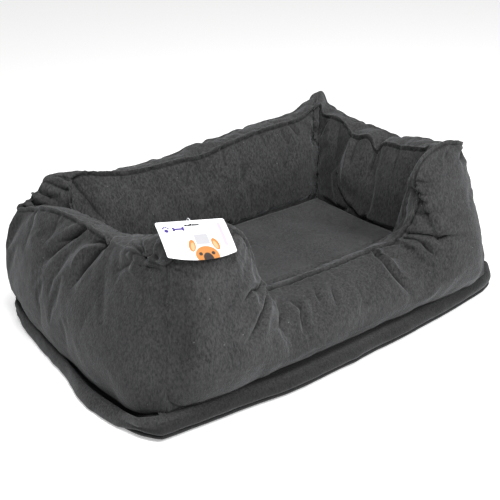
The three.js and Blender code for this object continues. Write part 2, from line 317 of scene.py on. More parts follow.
@dataclass(frozen=True)
class Fold:
    """A crease drawn on a wall.

    Attributes:
        path: Places on the wall: distance along it in millimetres, and how far up over it, which is 0 to 1 on
            the outer panel, 1 to 2 on the gusset and 2 to 3 on the inner panel.
        depth: How deep it is in millimetres; a ridge where it is negative.
        width: Half its width in millimetres.
        lip: Height of the raised cloth beside it, as a share of its depth.
        fade: Whether it is deepest at its first point and dies away, or dies away at both ends.
        soft: Whether it is a round hollow rather than a sharp crease.
    """

    path: tuple[tuple[float, float], ...]
    depth: float
    width: float
    lip: float = 0.45
    fade: bool = True
    soft: bool = False

    def push(self, points: Array, line: Array) -> Array:
        """How far each point moves in along its normal, in metres.

        Args:
            points: The wall's points, one row each.
            line: The fold's path on the wall, in space.

        Returns:
            One distance for each point, positive outwards.
        """
        best = np.full(len(points), 1e9)
        place = np.zeros(len(points))
        lengths = np.linalg.norm(np.diff(line, axis=0), axis=1)
        starts = np.concatenate([[0.0], np.cumsum(lengths)])
        for a, b, start, length in zip(line[:-1], line[1:], starts[:-1], lengths):
            t = np.clip(((points - a) @ (b - a)) / max(length**2, 1e-12), 0.0, 1.0)
            distance = np.linalg.norm(points - (a + t[:, None] * (b - a)), axis=1)
            closer = distance < best
            best = np.where(closer, distance, best)
            place = np.where(closer, (start + t * length) / starts[-1], place)
        width = self.width * MM * (mixed(0.8, 1.7, place) if self.fade else 1.0)
        if self.fade:
            strength = 1.0 - eased(place, 0.50, 1.0)
        else:
            strength = np.sin(np.pi * np.clip(place, 0.03, 0.97)) ** 0.6
        if self.soft:
            return -self.depth * MM * strength * np.exp(-((best / width) ** 2))
        trough = -0.7 * np.exp(-1.3 * best / width) - 0.3 * np.exp(-((best / (3.0 * width)) ** 2))
        lip = self.lip * np.exp(-(((best - 3.2 * width) / (2.2 * width)) ** 2))
        return self.depth * MM * strength * (trough + 0.4 * lip)


# ---------------------------------------------------------------- walls


@dataclass(frozen=True)
class Knot:
    """One place along a wall's top, in millimetres.

    Attributes:
        outer: Outer seam of the gusset: distance along the wall, inset from the base seam, height.
        inner: Inner seam of the gusset, the same.
        foot: Distance along the wall of the outer foot below it.
        inner_foot: Distance along the wall of the inner foot below it.
        foot_inset: How far the outer foot is in from the base seam.
        low_belly: How strongly the outer panel swells out near its foot.
        high_belly: How strongly it swells out near its top.
        crown: How high the gusset is rounded up.
        sunk: How far the outer foot hangs below the pad's top.
    """

    outer: tuple[float, float, float]
    inner: tuple[float, float, float]
    foot: float
    inner_foot: float
    foot_inset: float = 4.0
    low_belly: float = 42.0
    high_belly: float = 42.0
    crown: float = 5.0
    sunk: float = 0.0


@dataclass
class WallPlan:
    """A wall seen from outside, from its left end to its right end.

    Attributes:
        name: The wall's name.
        setback: Distance of its base seam from the middle of the bed, in metres.
        turn: How it is turned about +Z from the front wall, in quarter turns.
        knots: The places along its top.
        folds: The creases on it.
        rolled: Where along it the cloth is rolled over the outer seam, in millimetres.
        shade: How much darker its outer panel is painted: painted shade for how the light falls on that side of
            the bed.
    """

    name: str
    setback: float
    turn: int
    knots: list[Knot]
    folds: list[Fold] = field(default_factory=list)
    rolled: tuple[float, float] | None = None
    shade: float = 0.0

    def placed(self, local: Array) -> Array:
        """Turns points given as (along, inset, height) into the bed's frame.

        Args:
            local: Points in the wall's own terms, in metres, in the last axis.

        Returns:
            The same points in the bed's frame.
        """
        x, y, z = local[..., 0], local[..., 1] - self.setback, local[..., 2]
        for _ in range(self.turn % 4):
            x, y = -y, x
        return np.stack([x, y, z], axis=-1)

    def along(self, points: Array) -> Array:
        """How far along the wall points in the bed's frame are, in metres."""
        x, y = points[..., 0], points[..., 1]
        for _ in range((4 - self.turn) % 4):
            x, y = -y, x
        return x


@dataclass(frozen=True)
class Clearing:
    """A flat thing that the walls stay under.

    Attributes:
        middle: The middle of its slot.
        across: Direction of its width.
        normal: Direction that its face looks.
        half_width: Half its width, with a margin.
        above: How far it reaches up from its slot, with a margin.
        below: How far it reaches down from its slot, with a margin.
        gap: How far under it the walls stay.
        turning: How much further under its top they stay, so that it can turn up about its slot.
    """

    middle: Vector
    across: Vector
    normal: Vector
    half_width: float
    above: float
    below: float
    gap: float
    turning: float

    def kept(self, grid: Array) -> Array:
        """The grid with every point under the card pushed down clear of it."""
        middle, across, normal = np.array(self.middle), np.array(self.across), np.array(self.normal)
        down = np.cross(across, normal)
        down = down if down[2] < 0 else -down
        offset = grid - middle
        aside, drop, height = np.abs(offset @ across), offset @ down, offset @ normal
        margin = 0.012
        beside_slot = 0.016
        inside = 1.0 - eased(aside, self.half_width, self.half_width + margin)
        inside = inside * eased(drop, -self.above - margin, -self.above)
        inside = inside * (1.0 - eased(drop, self.below, self.below + margin))
        gap = self.gap + self.turning * (1.0 - eased(drop, 0.0, beside_slot))
        furthest = 0.05
        excess = np.clip(height + gap, 0.0, furthest)
        return grid - (excess * inside)[..., None] * normal


@dataclass
class WallRing:
    """The four stuffed walls, blown up as one ring, because they are sewn to each other at the corners.

    Attributes:
        plans: The walls, anticlockwise from the front one.
        foot_height: Where the walls stand on the base pad.
        inner_inset: Inner foot, in from the base seam.
        clearing: The hung card.
        step: Spacing of the cloth's grid while it is blown up.
        body: The body that the walls belong to.
        seam_rows: The grid's row at the upper end of each strip.
        corner_columns: The grid's first column of each wall.
    """

    plans: list[WallPlan]
    foot_height: float
    inner_inset: float
    clearing: Clearing
    step: float = 0.0075
    body: str = "bed"
    seam_rows: dict[Side, int] = field(default_factory=dict)
    corner_columns: list[int] = field(default_factory=list)

    def spans(self, columns: int) -> list[tuple[WallPlan, int, int]]:
        """Each wall with its first column and the first column after it.

        Args:
            columns: How many columns the grid has.

        Returns:
            One entry for each wall.
        """
        return list(zip(self.plans, self.corner_columns, [*self.corner_columns[1:], columns]))

    def rows_between(self) -> tuple[Array, Array, Array, Array]:
        """Places of the grid's rows on outer panel, gusset, inner panel and sole, closer beside the seams."""
        near = np.array([0.0, 0.012, 0.03])
        outer = np.concatenate([near, np.linspace(0.06, 0.94, 30), 1 - near[:0:-1]])
        gusset = np.array([0.0, 0.08, 0.2, 0.38, 0.62, 0.8, 0.92])
        inner = np.concatenate([near, np.linspace(0.06, 0.94, 26), 1 - near[:0:-1]])
        sole = np.linspace(0.0, 1.0, 8)[:-1]
        return outer, gusset, inner, sole

    def columns_of(self, plan: WallPlan) -> tuple[Array, Array]:
        """The wall's columns of points: outer foot, outer seam, inner seam and inner foot of each.

        Args:
            plan: The wall.

        Returns:
            Columns by four by three, in the wall's own terms, and each one's low belly, high belly and crown.
        """
        rows = []
        for knot in plan.knots:
            rows.append(
                [knot.foot * MM, knot.foot_inset * MM, self.foot_height - knot.sunk * MM]
                + [c * MM for c in knot.outer]
                + [c * MM for c in knot.inner]
                + [knot.inner_foot * MM, self.inner_inset, self.foot_height]
                + [knot.low_belly * MM, knot.high_belly * MM, knot.crown * MM]
            )
        knots = np.array(rows)
        gaps = np.linalg.norm(np.diff(knots[:, 3:6], axis=0), axis=1)
        steps = [max(2, round(gap / self.step)) for gap in gaps]
        columns = spline(knots, steps)
        return columns[:, :12].reshape(-1, 4, 3), columns[:, 12:]

    def section(self, plan: WallPlan) -> Array:
        """Curves each column of a wall over it, keeping the end columns on the mitres.

        Args:
            plan: The wall.

        Returns:
            Columns by rows by three, in the wall's own terms.
        """
        corners, swells = self.columns_of(plan)
        foot, seam, inner_seam, inner_foot = (corners[:, i, :] for i in range(4))
        outer_rows, gusset_rows, inner_rows, sole_rows = self.rows_between()
        ends = np.array([plan.knots[0].foot, plan.knots[-1].foot]) * MM
        to_left = 1.0 - eased(foot[:, 0], ends[0], ends[0] + 0.11)
        to_right = 1.0 - eased(-foot[:, 0], -ends[1], -ends[1] + 0.11)
        aside = (to_left - to_right)[:, None]
        height = seam[:, 2:3] - foot[:, 2:3]
        low = eased(seam[:, 2:3], 0.27, 0.17)
        low_belly, high_belly, crown = (swells[:, i : i + 1] for i in range(3))
        zero = np.zeros_like(low)
        reach = mixed(0.17, 0.30, low) - 3.0 * np.maximum(0.0, self.foot_height - foot[:, 2:3])
        swell = np.hstack([-aside * low_belly, -low_belly, reach * height])
        lean = np.hstack([-aside * high_belly, -high_belly, mixed(-0.34 * height, 0.002 + zero, low)])
        sway = (seam - foot) * np.array([1.0, 0.0, 0.0]) * (1.0 - np.abs(aside))
        outer = bezier(foot, foot + swell + 0.2 * sway, seam + lean - 0.2 * sway, seam, outer_rows)
        third = (inner_seam - seam) / 3
        lift = np.hstack([zero, zero, crown])
        gusset = bezier(seam, seam + third + lift, inner_seam - third + lift, inner_seam, gusset_rows)
        drop = inner_seam[:, 2:3] - inner_foot[:, 2:3]
        thick = mixed(0.020, 0.012, low)
        shoulder = np.hstack([aside * thick, thick, -0.30 * drop])
        tuck = np.hstack([aside * 0.003, zero + 0.003, 0.42 * drop])
        inner = bezier(inner_seam, inner_seam + shoulder, inner_foot + tuck, inner_foot, inner_rows)
        sole = inner_foot[:, None, :] + (foot - inner_foot)[:, None, :] * sole_rows[None, :, None]
        return np.concatenate([outer[:, :-1], gusset, inner[:, :-1], sole], axis=1)

    def grid(self) -> Array:
        """The ring's whole grid, columns going anticlockwise from the front left corner."""
        parts = []
        self.corner_columns = []
        count = 0
        for plan in self.plans:
            columns = plan.placed(self.section(plan))[:-1]
            self.corner_columns.append(count)
            count += len(columns)
            parts.append(columns)
        outer_rows, gusset_rows, inner_rows, _ = self.rows_between()
        self.seam_rows = {
            Side.OUTER: len(outer_rows) - 1,
            Side.GUSSET: len(outer_rows) - 1 + len(gusset_rows),
            Side.INNER: len(outer_rows) - 1 + len(gusset_rows) + len(inner_rows) - 1,
        }
        return np.concatenate(parts)

    def blown_up(self, grid: Array) -> Array:
        """The grid after its panels swell over the filling, with every seam held."""
        columns, rows = grid.shape[:2]
        held = np.zeros((columns, rows), bool)
        for row in (0, *self.seam_rows.values()):
            held[:, row] = True
        held[:, self.seam_rows[Side.INNER] :] = True
        held[self.corner_columns, :] = True
        row_cap = np.full(rows, 0.016)
        row_cap[self.seam_rows[Side.OUTER] : self.seam_rows[Side.GUSSET]] = 0.006
        cap = np.broadcast_to(row_cap, (columns, rows)).copy()
        beside_cushion = (grid[:, :, 2] < 0.125) & (np.arange(rows)[None, :] > self.seam_rows[Side.GUSSET])
        cap[beside_cushion] = 0.003
        flat = stuffed(
            grid.reshape(-1, 3), grid_faces(columns, rows, True), held.ravel(), Stuffing(), cap.ravel()
        )
        step = flat.reshape(grid.shape) - grid
        smooth = step.copy()
        for _ in range(14):
            smooth = 0.5 * smooth + 0.25 * (np.roll(smooth, 1, 0) + np.roll(smooth, -1, 0))
        over = np.arange(rows) / self.seam_rows[Side.OUTER]
        even = np.where(over <= 1.0, 1.0 - eased(over, 0.12, 0.62), 0.0)
        return grid + mixed(step, smooth, even[None, :, None])

    def place_on(self, grid: Array, plan_index: int, along: float, over: float) -> Array:
        """The point of the grid at a place on a wall.

        Args:
            grid: The ring's grid.
            plan_index: Which wall.
            along: Distance along the wall in metres, at the outer foot.
            over: How far up over the wall, as in Fold.

        Returns:
            The point in space.
        """
        columns, rows = grid.shape[:2]
        plan, first, last = self.spans(columns)[plan_index]
        run = np.arange(first, last + 1) % columns
        places = np.maximum.accumulate(plan.along(grid[run, 0]))
        column = first + float(np.interp(along, places, np.arange(len(run))))
        starts = [0, self.seam_rows[Side.OUTER], self.seam_rows[Side.GUSSET], self.seam_rows[Side.INNER]]
        row = float(np.interp(over, [0, 1, 2, 3], starts))
        c0, r0 = int(column), int(row)
        c1, r1 = c0 + 1, min(r0 + 1, rows - 1)
        fc, fr = column - c0, row - r0
        low = mixed(grid[c0 % columns, r0], grid[c1 % columns, r0], fc)
        high = mixed(grid[c0 % columns, r1], grid[c1 % columns, r1], fc)
        return mixed(low, high, fr)

    def creased(self, grid: Array) -> tuple[Array, Array]:
        """The grid with its folds pressed in and the seams' raised lips.

        Args:
            grid: The ring's grid.

        Returns:
            The new grid, and the painted shade of each point: darker in folds, seams and corners, near the foot
            and beside the cushion.
        """
        columns, rows = grid.shape[:2]
        normals = grid_normals(grid, True).reshape(-1, 3)
        points = grid.reshape(-1, 3)
        push, hollow = np.zeros(len(points)), np.zeros(len(points))
        for index, plan in enumerate(self.plans):
            for fold in plan.folds:
                path = spline(np.array(fold.path, float), [5] * (len(fold.path) - 1))
                line = np.array([self.place_on(grid, index, x * MM, v) for x, v in path])
                reach = 7.0 * fold.width * MM
                near = ((points > line.min(axis=0) - reach) & (points < line.max(axis=0) + reach)).all(axis=1)
                pushed = fold.push(points[near], line)
                push[near] += pushed
                # Painted shade in the fold's trough: a sharp crease darkens its core, a soft hollow a little.
                if fold.soft:
                    dark = 0.3 * np.clip(-pushed / 0.005, 0.0, 1.0)
                else:
                    core = np.clip(-pushed / (abs(fold.depth) * MM) - 0.42, 0.0, 0.5) / 0.5
                    dark = 0.8 * core * min(1.0, abs(fold.depth) / 8.0) * (fold.depth > 0)
                hollow[near] = np.maximum(hollow[near], dark)
        hollow, push = hollow.reshape(columns, rows), push.reshape(columns, rows)
        # Painted shade: darker towards the foot of each outer panel and low on the inner panels beside the
        # cushion.
        over = np.arange(rows) / self.seam_rows[Side.OUTER]
        shade_at_foot = 0.75 * (1.0 - eased(over, 0.02, 0.07))
        shade_below_belly = 0.34 * (1.0 - eased(over, 0.05, 0.45))
        low = np.where(over <= 1.0, shade_at_foot + shade_below_belly, 0.0)
        beside_cushion = 0.30 * eased(np.arange(rows), *self.lower_inner_rows())
        hollow = hollow + (low + beside_cushion)[None, :]
        # Painted shade over whole outer panels, darker on the sides that the light falls less on.
        for plan, first, last in self.spans(columns):
            hollow[first:last, : self.seam_rows[Side.OUTER]] += plan.shade
        hollow = np.clip(hollow, 0.0, 1.0)
        sole = np.arange(rows) >= self.seam_rows[Side.INNER]
        push[:, sole] = 0.0
        rest = 0.0016 * value_noise(points, 0.045, 3) + 0.0007 * value_noise(points, 0.016, 4)
        rest = rest.reshape(columns, rows)
        rest[:, sole] = 0.0
        moved = grid + (push + rest)[:, :, None] * normals.reshape(grid.shape)
        normals = normals.reshape(grid.shape)
        for side, below in ((Side.OUTER, -1), (Side.GUSSET, 1)):
            self.raise_lip(moved, hollow, normals, side, below)
        for column in self.corner_columns:
            self.press_corner(moved, hollow, normals, column)
        return moved, hollow

    def lower_inner_rows(self) -> tuple[float, float]:
        """The rows over which painted shade darkens the inner panels towards the cushion."""
        top, foot = self.seam_rows[Side.GUSSET], self.seam_rows[Side.INNER]
        return mixed(top, foot, 0.25), mixed(top, foot, 0.65)

    def softened(self, grid: Array) -> Array:
        """The grid with the corners of its gusset rounded off, as stuffed corners are.

        Args:
            grid: The ring's grid.

        Returns:
            The new grid.
        """
        softer = grid.copy()
        reach, turns = 15, 90
        past_seam, fade_rows = 24, 20
        first, last = self.seam_rows[Side.OUTER] - past_seam, self.seam_rows[Side.GUSSET] + past_seam
        rows = np.arange(last - first)
        fade = np.minimum(1.0, np.minimum(rows + 1, len(rows) - rows) / fade_rows)
        for column in self.corner_columns:
            run = (column + np.arange(-reach - 1, reach + 2)) % len(grid)
            block = softer[run, first:last]
            for _ in range(turns):
                middle = 0.5 * block[1:-1] + 0.25 * (block[:-2] + block[2:])
                block[1:-1] = mixed(block[1:-1], middle, fade[None, :, None])
            softer[run, first:last] = block
        return softer

    def shown(self, grid: Array) -> Array:
        """How strongly the outer gusset seam shows in each column: 0 where the cloth is rolled over it."""
        shown = np.ones(len(grid))
        blend = 0.006
        for plan, first, last in self.spans(len(grid)):
            if plan.rolled is None:
                continue
            along = plan.along(grid[first:last, 0])
            low, high = (end * MM for end in plan.rolled)
            rolled = eased(along, low - blend, low + blend) * (1.0 - eased(along, high - blend, high + blend))
            shown[first:last] = 1.0 - rolled
        return shown

    def raise_lip(self, grid: Array, hollow: Array, normals: Array, side: Side, below: int) -> None:
        """Raises the folded seam allowance along one seam, with the stitched ditch on its panel's side and painted
        shade in the ditch.

        Args:
            grid: The ring's grid, changed in place.
            hollow: The painted shade, changed in place.
            normals: The grid's normals.
            side: The strip that the seam ends.
            below: Which way the panel lies from the seam: -1 or 1.
        """
        row = self.seam_rows[side]
        wave = 1.0 + 0.3 * value_noise(grid[:, row], 0.020, 7)
        if side is Side.OUTER:
            wave = wave * self.shown(grid)
        seam = grid[:, row].copy()
        rows_each_way = 9
        lip_height, lip_width, lip_back = 0.0030, 0.0030, 0.001
        ditch_depth, ditch_width, ditch_place, ditch_dark = 0.0022, 0.0026, 0.0050, 0.85
        for step in range(-rows_each_way, rows_each_way + 1):
            place = row + step * below
            distance = np.linalg.norm(grid[:, place] - seam, axis=1) * np.sign(step)
            lip = lip_height * np.exp(-(((distance + lip_back) / lip_width) ** 2))
            ditch = np.exp(-(((distance - ditch_place) / ditch_width) ** 2))
            grid[:, place] += normals[:, row] * ((lip - ditch_depth * ditch) * wave)[:, None]
            # Painted shade along the stitched ditch.
            hollow[:, place] = np.maximum(hollow[:, place], ditch_dark * ditch * np.clip(wave, 0.0, 1.0))

    def press_corner(self, grid: Array, hollow: Array, normals: Array, column: int) -> None:
        """Presses in the upright seam between two outer panels and between two inner panels, with painted shade
        along it.

        Args:
            grid: The ring's grid, changed in place.
            hollow: The painted shade, changed in place.
            normals: The grid's normals.
            column: The corner's column.
        """
        seam = grid[column].copy()
        columns_each_way, width = 6, 0.0024
        panels = [
            (slice(5, self.seam_rows[Side.OUTER] - 3), 0.0016, 0.42),
            (slice(self.seam_rows[Side.GUSSET] + 3, self.seam_rows[Side.INNER]), 0.0024, 0.75),
        ]
        for rows, depth, dark in panels:
            for step in range(-columns_each_way, columns_each_way + 1):
                place = (column + step) % len(grid)
                distance = np.linalg.norm(grid[place, rows] - seam[rows], axis=1)
                ditch = np.exp(-((distance / width) ** 2))
                grid[place, rows] -= normals[place, rows] * (depth * ditch)[:, None]
                # Painted shade along the pressed-in corner seam.
                hollow[place, rows] = np.maximum(hollow[place, rows], dark * ditch)

    def make(self) -> list[bpy.types.Object]:
        """Builds the four walls as separate closed pieces."""
        grid = self.grid()
        LOG.info("walls: %d columns, %d rows", *grid.shape[:2])
        grid = self.blown_up(grid)
        for _ in range(2):
            grid = refine_rows(refine_rows(grid, 0), 1)
            self.corner_columns = [2 * c for c in self.corner_columns]
            self.seam_rows = {side: 2 * row for side, row in self.seam_rows.items()}
        grid, hollow = self.creased(self.softened(grid))
        grid = self.clearing.kept(grid)
        made = []
        for plan, first, last in self.spans(len(grid)):
            run = np.arange(first, last + 1) % len(grid)
            made.append(self.wall(plan, grid[run], hollow[run]))
        return made

    def wall(self, plan: WallPlan, columns: Array, hollow: Array) -> bpy.types.Object:
        """One wall as a closed piece, its two mitred ends closed with fans.

        Args:
            plan: The wall.
            columns: Its part of the grid.
            hollow: The painted shade at each point of it.

        Returns:
            The piece, riding on its body.
        """
        count, rows = columns.shape[:2]
        vertices = columns.reshape(-1, 3)
        faces = [tuple(q) for q in grid_faces(count, rows, False)]
        middles = [columns[0].mean(axis=0), columns[-1].mean(axis=0)]
        first_middle, last_middle = len(vertices), len(vertices) + 1
        end = (count - 1) * rows
        for j in range(rows):
            following = (j + 1) % rows
            faces.append((j, following, first_middle))
            faces.append((end + following, end + j, last_middle))
        made = piece_from(plan.name, np.vstack([vertices, middles]), faces)
        # Stores the painted shade on the wall.
        paint_hollow_shade(made, np.concatenate([hollow.ravel(), [0.0, 0.0]]))
        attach(made, self.body)
        nodes = [f"{plan.name}_{part}" for part in ("outer_panel", "inner_panel", "gusset", "filling")]
        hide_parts(*nodes)
        LOG.info("%s: %d faces", plan.name, len(faces))
        return made


INNER_FOOT_INSET = 126.0


@dataclass(frozen=True)
class Corner:
    """Where two walls meet: the same numbers end one wall and start the next, in millimetres.

    Attributes:
        outer: Inset and height of the outer seam.
        inner: Inset and height of the inner seam.
        foot_inset: Inset of the outer foot.
        low_belly: As in Knot.
        high_belly: As in Knot.
        crown: As in Knot.
        sunk: As in Knot.
    """

    outer: tuple[float, float]
    inner: tuple[float, float]
    foot_inset: float
    low_belly: float
    high_belly: float
    crown: float = 5.0
    sunk: float = 0.0

    def knot(self, half: float, side: int) -> Knot:
        """The knot at a wall's end.

        Args:
            half: Half the wall's length between base seams.
            side: -1 at the left end, 1 at the right.

        Returns:
            The knot, on the mitre.
        """
        return Knot(
            (side * (half - self.outer[0]), *self.outer),
            (side * (half - self.inner[0]), *self.inner),
            side * (half - self.foot_inset),
            side * (half - INNER_FOOT_INSET),
            self.foot_inset,
            self.low_belly,
            self.high_belly,
            self.crown,
            self.sunk,
        )


FRONT_LEFT = Corner((53, 280), (97, 300), 24, 12, 8, 12, 4)
FRONT_RIGHT = Corner((61, 315), (103, 312), 15, 4, 16, 9)
BACK_RIGHT = Corner((57, 325), (92, 314), 16, 24, 22)
BACK_LEFT = Corner((20, 226), (99, 234), 9, 14, 16)


def front_plan(half: float, setback: float) -> WallPlan:
    """The front wall: a low entry between two ears."""
    knots = [
        FRONT_LEFT.knot(half, -1),
        Knot((-300, 58, 305), (-276, 97, 304), -325, -245, 12, 36, 34, 10),
        Knot((-240, 58, 306), (-225, 98, 300), -262, -218),
        Knot((-200, 60, 290), (-190, 101, 280), -214, -190),
        Knot((-172, 66, 240), (-172, 106, 226), -186, -172),
        Knot((-143, 80, 168), (-150, 116, 152), -150, -150, 6, 46, 44),
        Knot((-104, 84, 151), (-112, 122, 128), -108, -112, 5, 48, 46),
        Knot((30, 85, 148), (30, 123, 124), 30, 25, 4, 48, 46),
        Knot((140, 84, 151), (144, 121, 128), 142, 138, 5, 48, 46),
        Knot((190, 76, 160), (204, 106, 150), 194, 182, 6, 46, 44),
        Knot((210, 62, 206), (226, 98, 178), 224, 198),
        Knot((222, 60, 246), (235, 97, 224), 246, 208),
        Knot((208, 62, 282), (236, 97, 254), 268, 216),
        Knot((222, 60, 314), (252, 98, 278), 290, 230),
        Knot((272, 60, 334), (278, 99, 300), 330, 248),
        Knot((322, 58, 325), (290, 100, 310), 362, 262, 10, 14, 24, 8),
        FRONT_RIGHT.knot(half, 1),
    ]
    folds = [
        Fold(((-352, 0.90), (-350, 0.60), (-352, 0.25)), 8, 26, 0, False, True),
        Fold(((-165, 0.79), (-190, 0.65), (-215, 0.53), (-235, 0.47), (-266, 0.42)), 14, 3.4, 0.9),
        Fold(((-178, 0.80), (-195, 0.74), (-228, 0.67), (-266, 0.61)), 9, 3.2, 0.9),
        Fold(((-105, 0.76), (-97, 0.64), (-103, 0.54), (-110, 0.40)), 9, 3.4, 1.2, False),
        Fold(((-135, 0.76), (-145, 0.59), (-172, 0.46)), 5, 4.5, 1.2, False),
        Fold(((-42, 0.80), (-50, 0.71), (-54, 0.60)), 5, 3.4, 1.0, False),
        Fold(((-6, 0.77), (-18, 0.66), (-26, 0.52)), 6, 3.4, 1.0, False),
        Fold(((38, 0.70), (34, 0.55), (30, 0.45)), 2.5, 5, 0.8, False),
        Fold(((205, 0.93), (222, 0.74), (262, 0.61), (322, 0.49)), 11, 3.2, 0.8),
        Fold(((198, 0.92), (210, 0.76), (216, 0.62), (236, 0.47)), 10, 3.2, 0.9),
        Fold(((190, 0.96), (201, 0.80), (208, 0.66), (222, 0.52)), -5, 5, 0.3),
        Fold(((130, 0.93), (125, 0.77), (125, 0.62), (135, 0.47), (158, 0.18)), 9, 3.2, 1.0),
        Fold(((139, 0.92), (135, 0.77), (137, 0.62), (148, 0.46)), -6, 5, 0.3),
        Fold(((262, 0.995), (272, 0.95), (285, 0.88), (305, 0.84)), 5, 2.8, 0.9),
        Fold(((258, 0.99), (270, 0.93), (285, 0.85), (300, 0.81)), 4, 2.8, 0.9),
        Fold(((250, 0.99), (262, 0.92), (274, 0.85), (292, 0.78)), 5, 2.8, 0.9),
        Fold(((236, 0.99), (246, 0.94), (268, 0.83), (286, 0.75)), 5, 3, 0.9),
        Fold(((228, 0.97), (242, 0.85), (296, 0.68)), 5, 3, 0.8),
        Fold(((-375, 0.30), (-370, 0.18), (-360, 0.09), (-345, 0.02)), 4, 3, 0.6, False),
        Fold(((383, 0.96), (362, 0.91), (345, 0.87)), 10, 4, 0.5),
        Fold(((350, 0.99), (330, 0.93), (318, 0.88)), 3, 3.5, 0.5),
        Fold(((258, 1.75), (250, 1.55), (240, 1.14)), 4, 3, 0.6, False),
        Fold(((206, 1.8), (214, 1.5), (222, 1.2)), 3, 3, 0.6, False),
        Fold(((-355, 0.92), (-335, 0.86), (-318, 0.82)), 3.5, 3, 0.6),
        Fold(((-352, 0.80), (-332, 0.77), (-316, 0.75)), 2.5, 3.5, 0.6),
    ]
    return WallPlan("front_wall", setback, 0, knots, folds, None, 0.10)


def right_plan(half: float, setback: float) -> WallPlan:
    """The right wall, its gusset notched where it sags."""
    knots = [
        FRONT_RIGHT.knot(half, -1),
        Knot((-182, 57, 312), (-146, 101, 306), -218, -122, 10, 14, 22),
        Knot((-150, 58, 304), (-136, 100, 299), -172, -112, 5, 22, 28),
        Knot((-86, 58, 295), (-78, 100, 287), -96, -66, 5, 34, 34),
        Knot((-36, 58, 284), (-34, 99, 281), -40, -30),
        Knot((-12, 58, 284), (-14, 104, 262), -14, -12),
        Knot((14, 58, 285), (10, 99, 282), 16, 12),
        Knot((50, 58, 285), (52, 102, 273), 56, 44),
        Knot((88, 58, 286), (84, 98, 290), 98, 70),
        Knot((124, 58, 288), (108, 98, 297), 140, 92),
        Knot((176, 57, 298), (142, 98, 293), 196, 112, 10, 30, 30),
        Knot((189, 57, 305), (152, 99, 294), 214, 118, 14, 26, 26),
        Knot((199, 56, 321), (158, 97, 302), 230, 126, 15, 25, 24),
        BACK_RIGHT.knot(half, 1),
    ]
    folds = [
        Fold(((190, 2.10), (218, 2.20), (235, 2.32)), 6, 6, 0.6),
        Fold(((41, 2.05), (40, 2.20), (38, 2.40)), 6, 6, 0.7),
        Fold(((52, 2.12), (51, 2.35), (50, 2.58)), -8, 9, 0.3),
        Fold(((86, 2.47), (72, 2.55), (55, 2.60), (25, 2.69), (-40, 2.74), (-100, 2.79)), 10, 3.4, 1.0),
        Fold(((38, 2.04), (39, 2.2), (42, 2.4), (46, 2.58)), -8, 24, 0, False, True),
        Fold(((96, 2.1), (92, 2.3), (90, 2.5)), 5, 24, 0, False, True),
        Fold(((-18, 2.02), (-15, 2.18), (-14, 2.36)), 5, 6, 0.7),
        Fold(((120, 2.10), (112, 2.30), (100, 2.50)), 4, 7, 0.6),
        Fold(((-90, 2.05), (-96, 2.25), (-98, 2.45)), 3, 7, 0.6),
        Fold(((96, 1.15), (92, 1.50), (88, 1.90)), 3.5, 4, 0.6, False),
        Fold(((-10, 1.15), (-12, 1.50), (-14, 1.95)), 5, 5, 0.6, False),
        Fold(((-140, 1.0), (-138, 0.86), (-142, 0.70)), 4, 5, 0.7),
        Fold(((-40, 1.0), (-52, 0.86), (-70, 0.72)), 5, 5, 0.7),
        Fold(((70, 1.0), (60, 0.85), (66, 0.66)), 4, 5, 0.7),
        Fold(((170, 0.98), (150, 0.84), (140, 0.66)), 6, 5, 0.7),
        Fold(((10, 0.05), (14, 0.20), (6, 0.36)), 3, 6, 0.7),
    ]
    return WallPlan("right_wall", setback, 1, knots, folds)


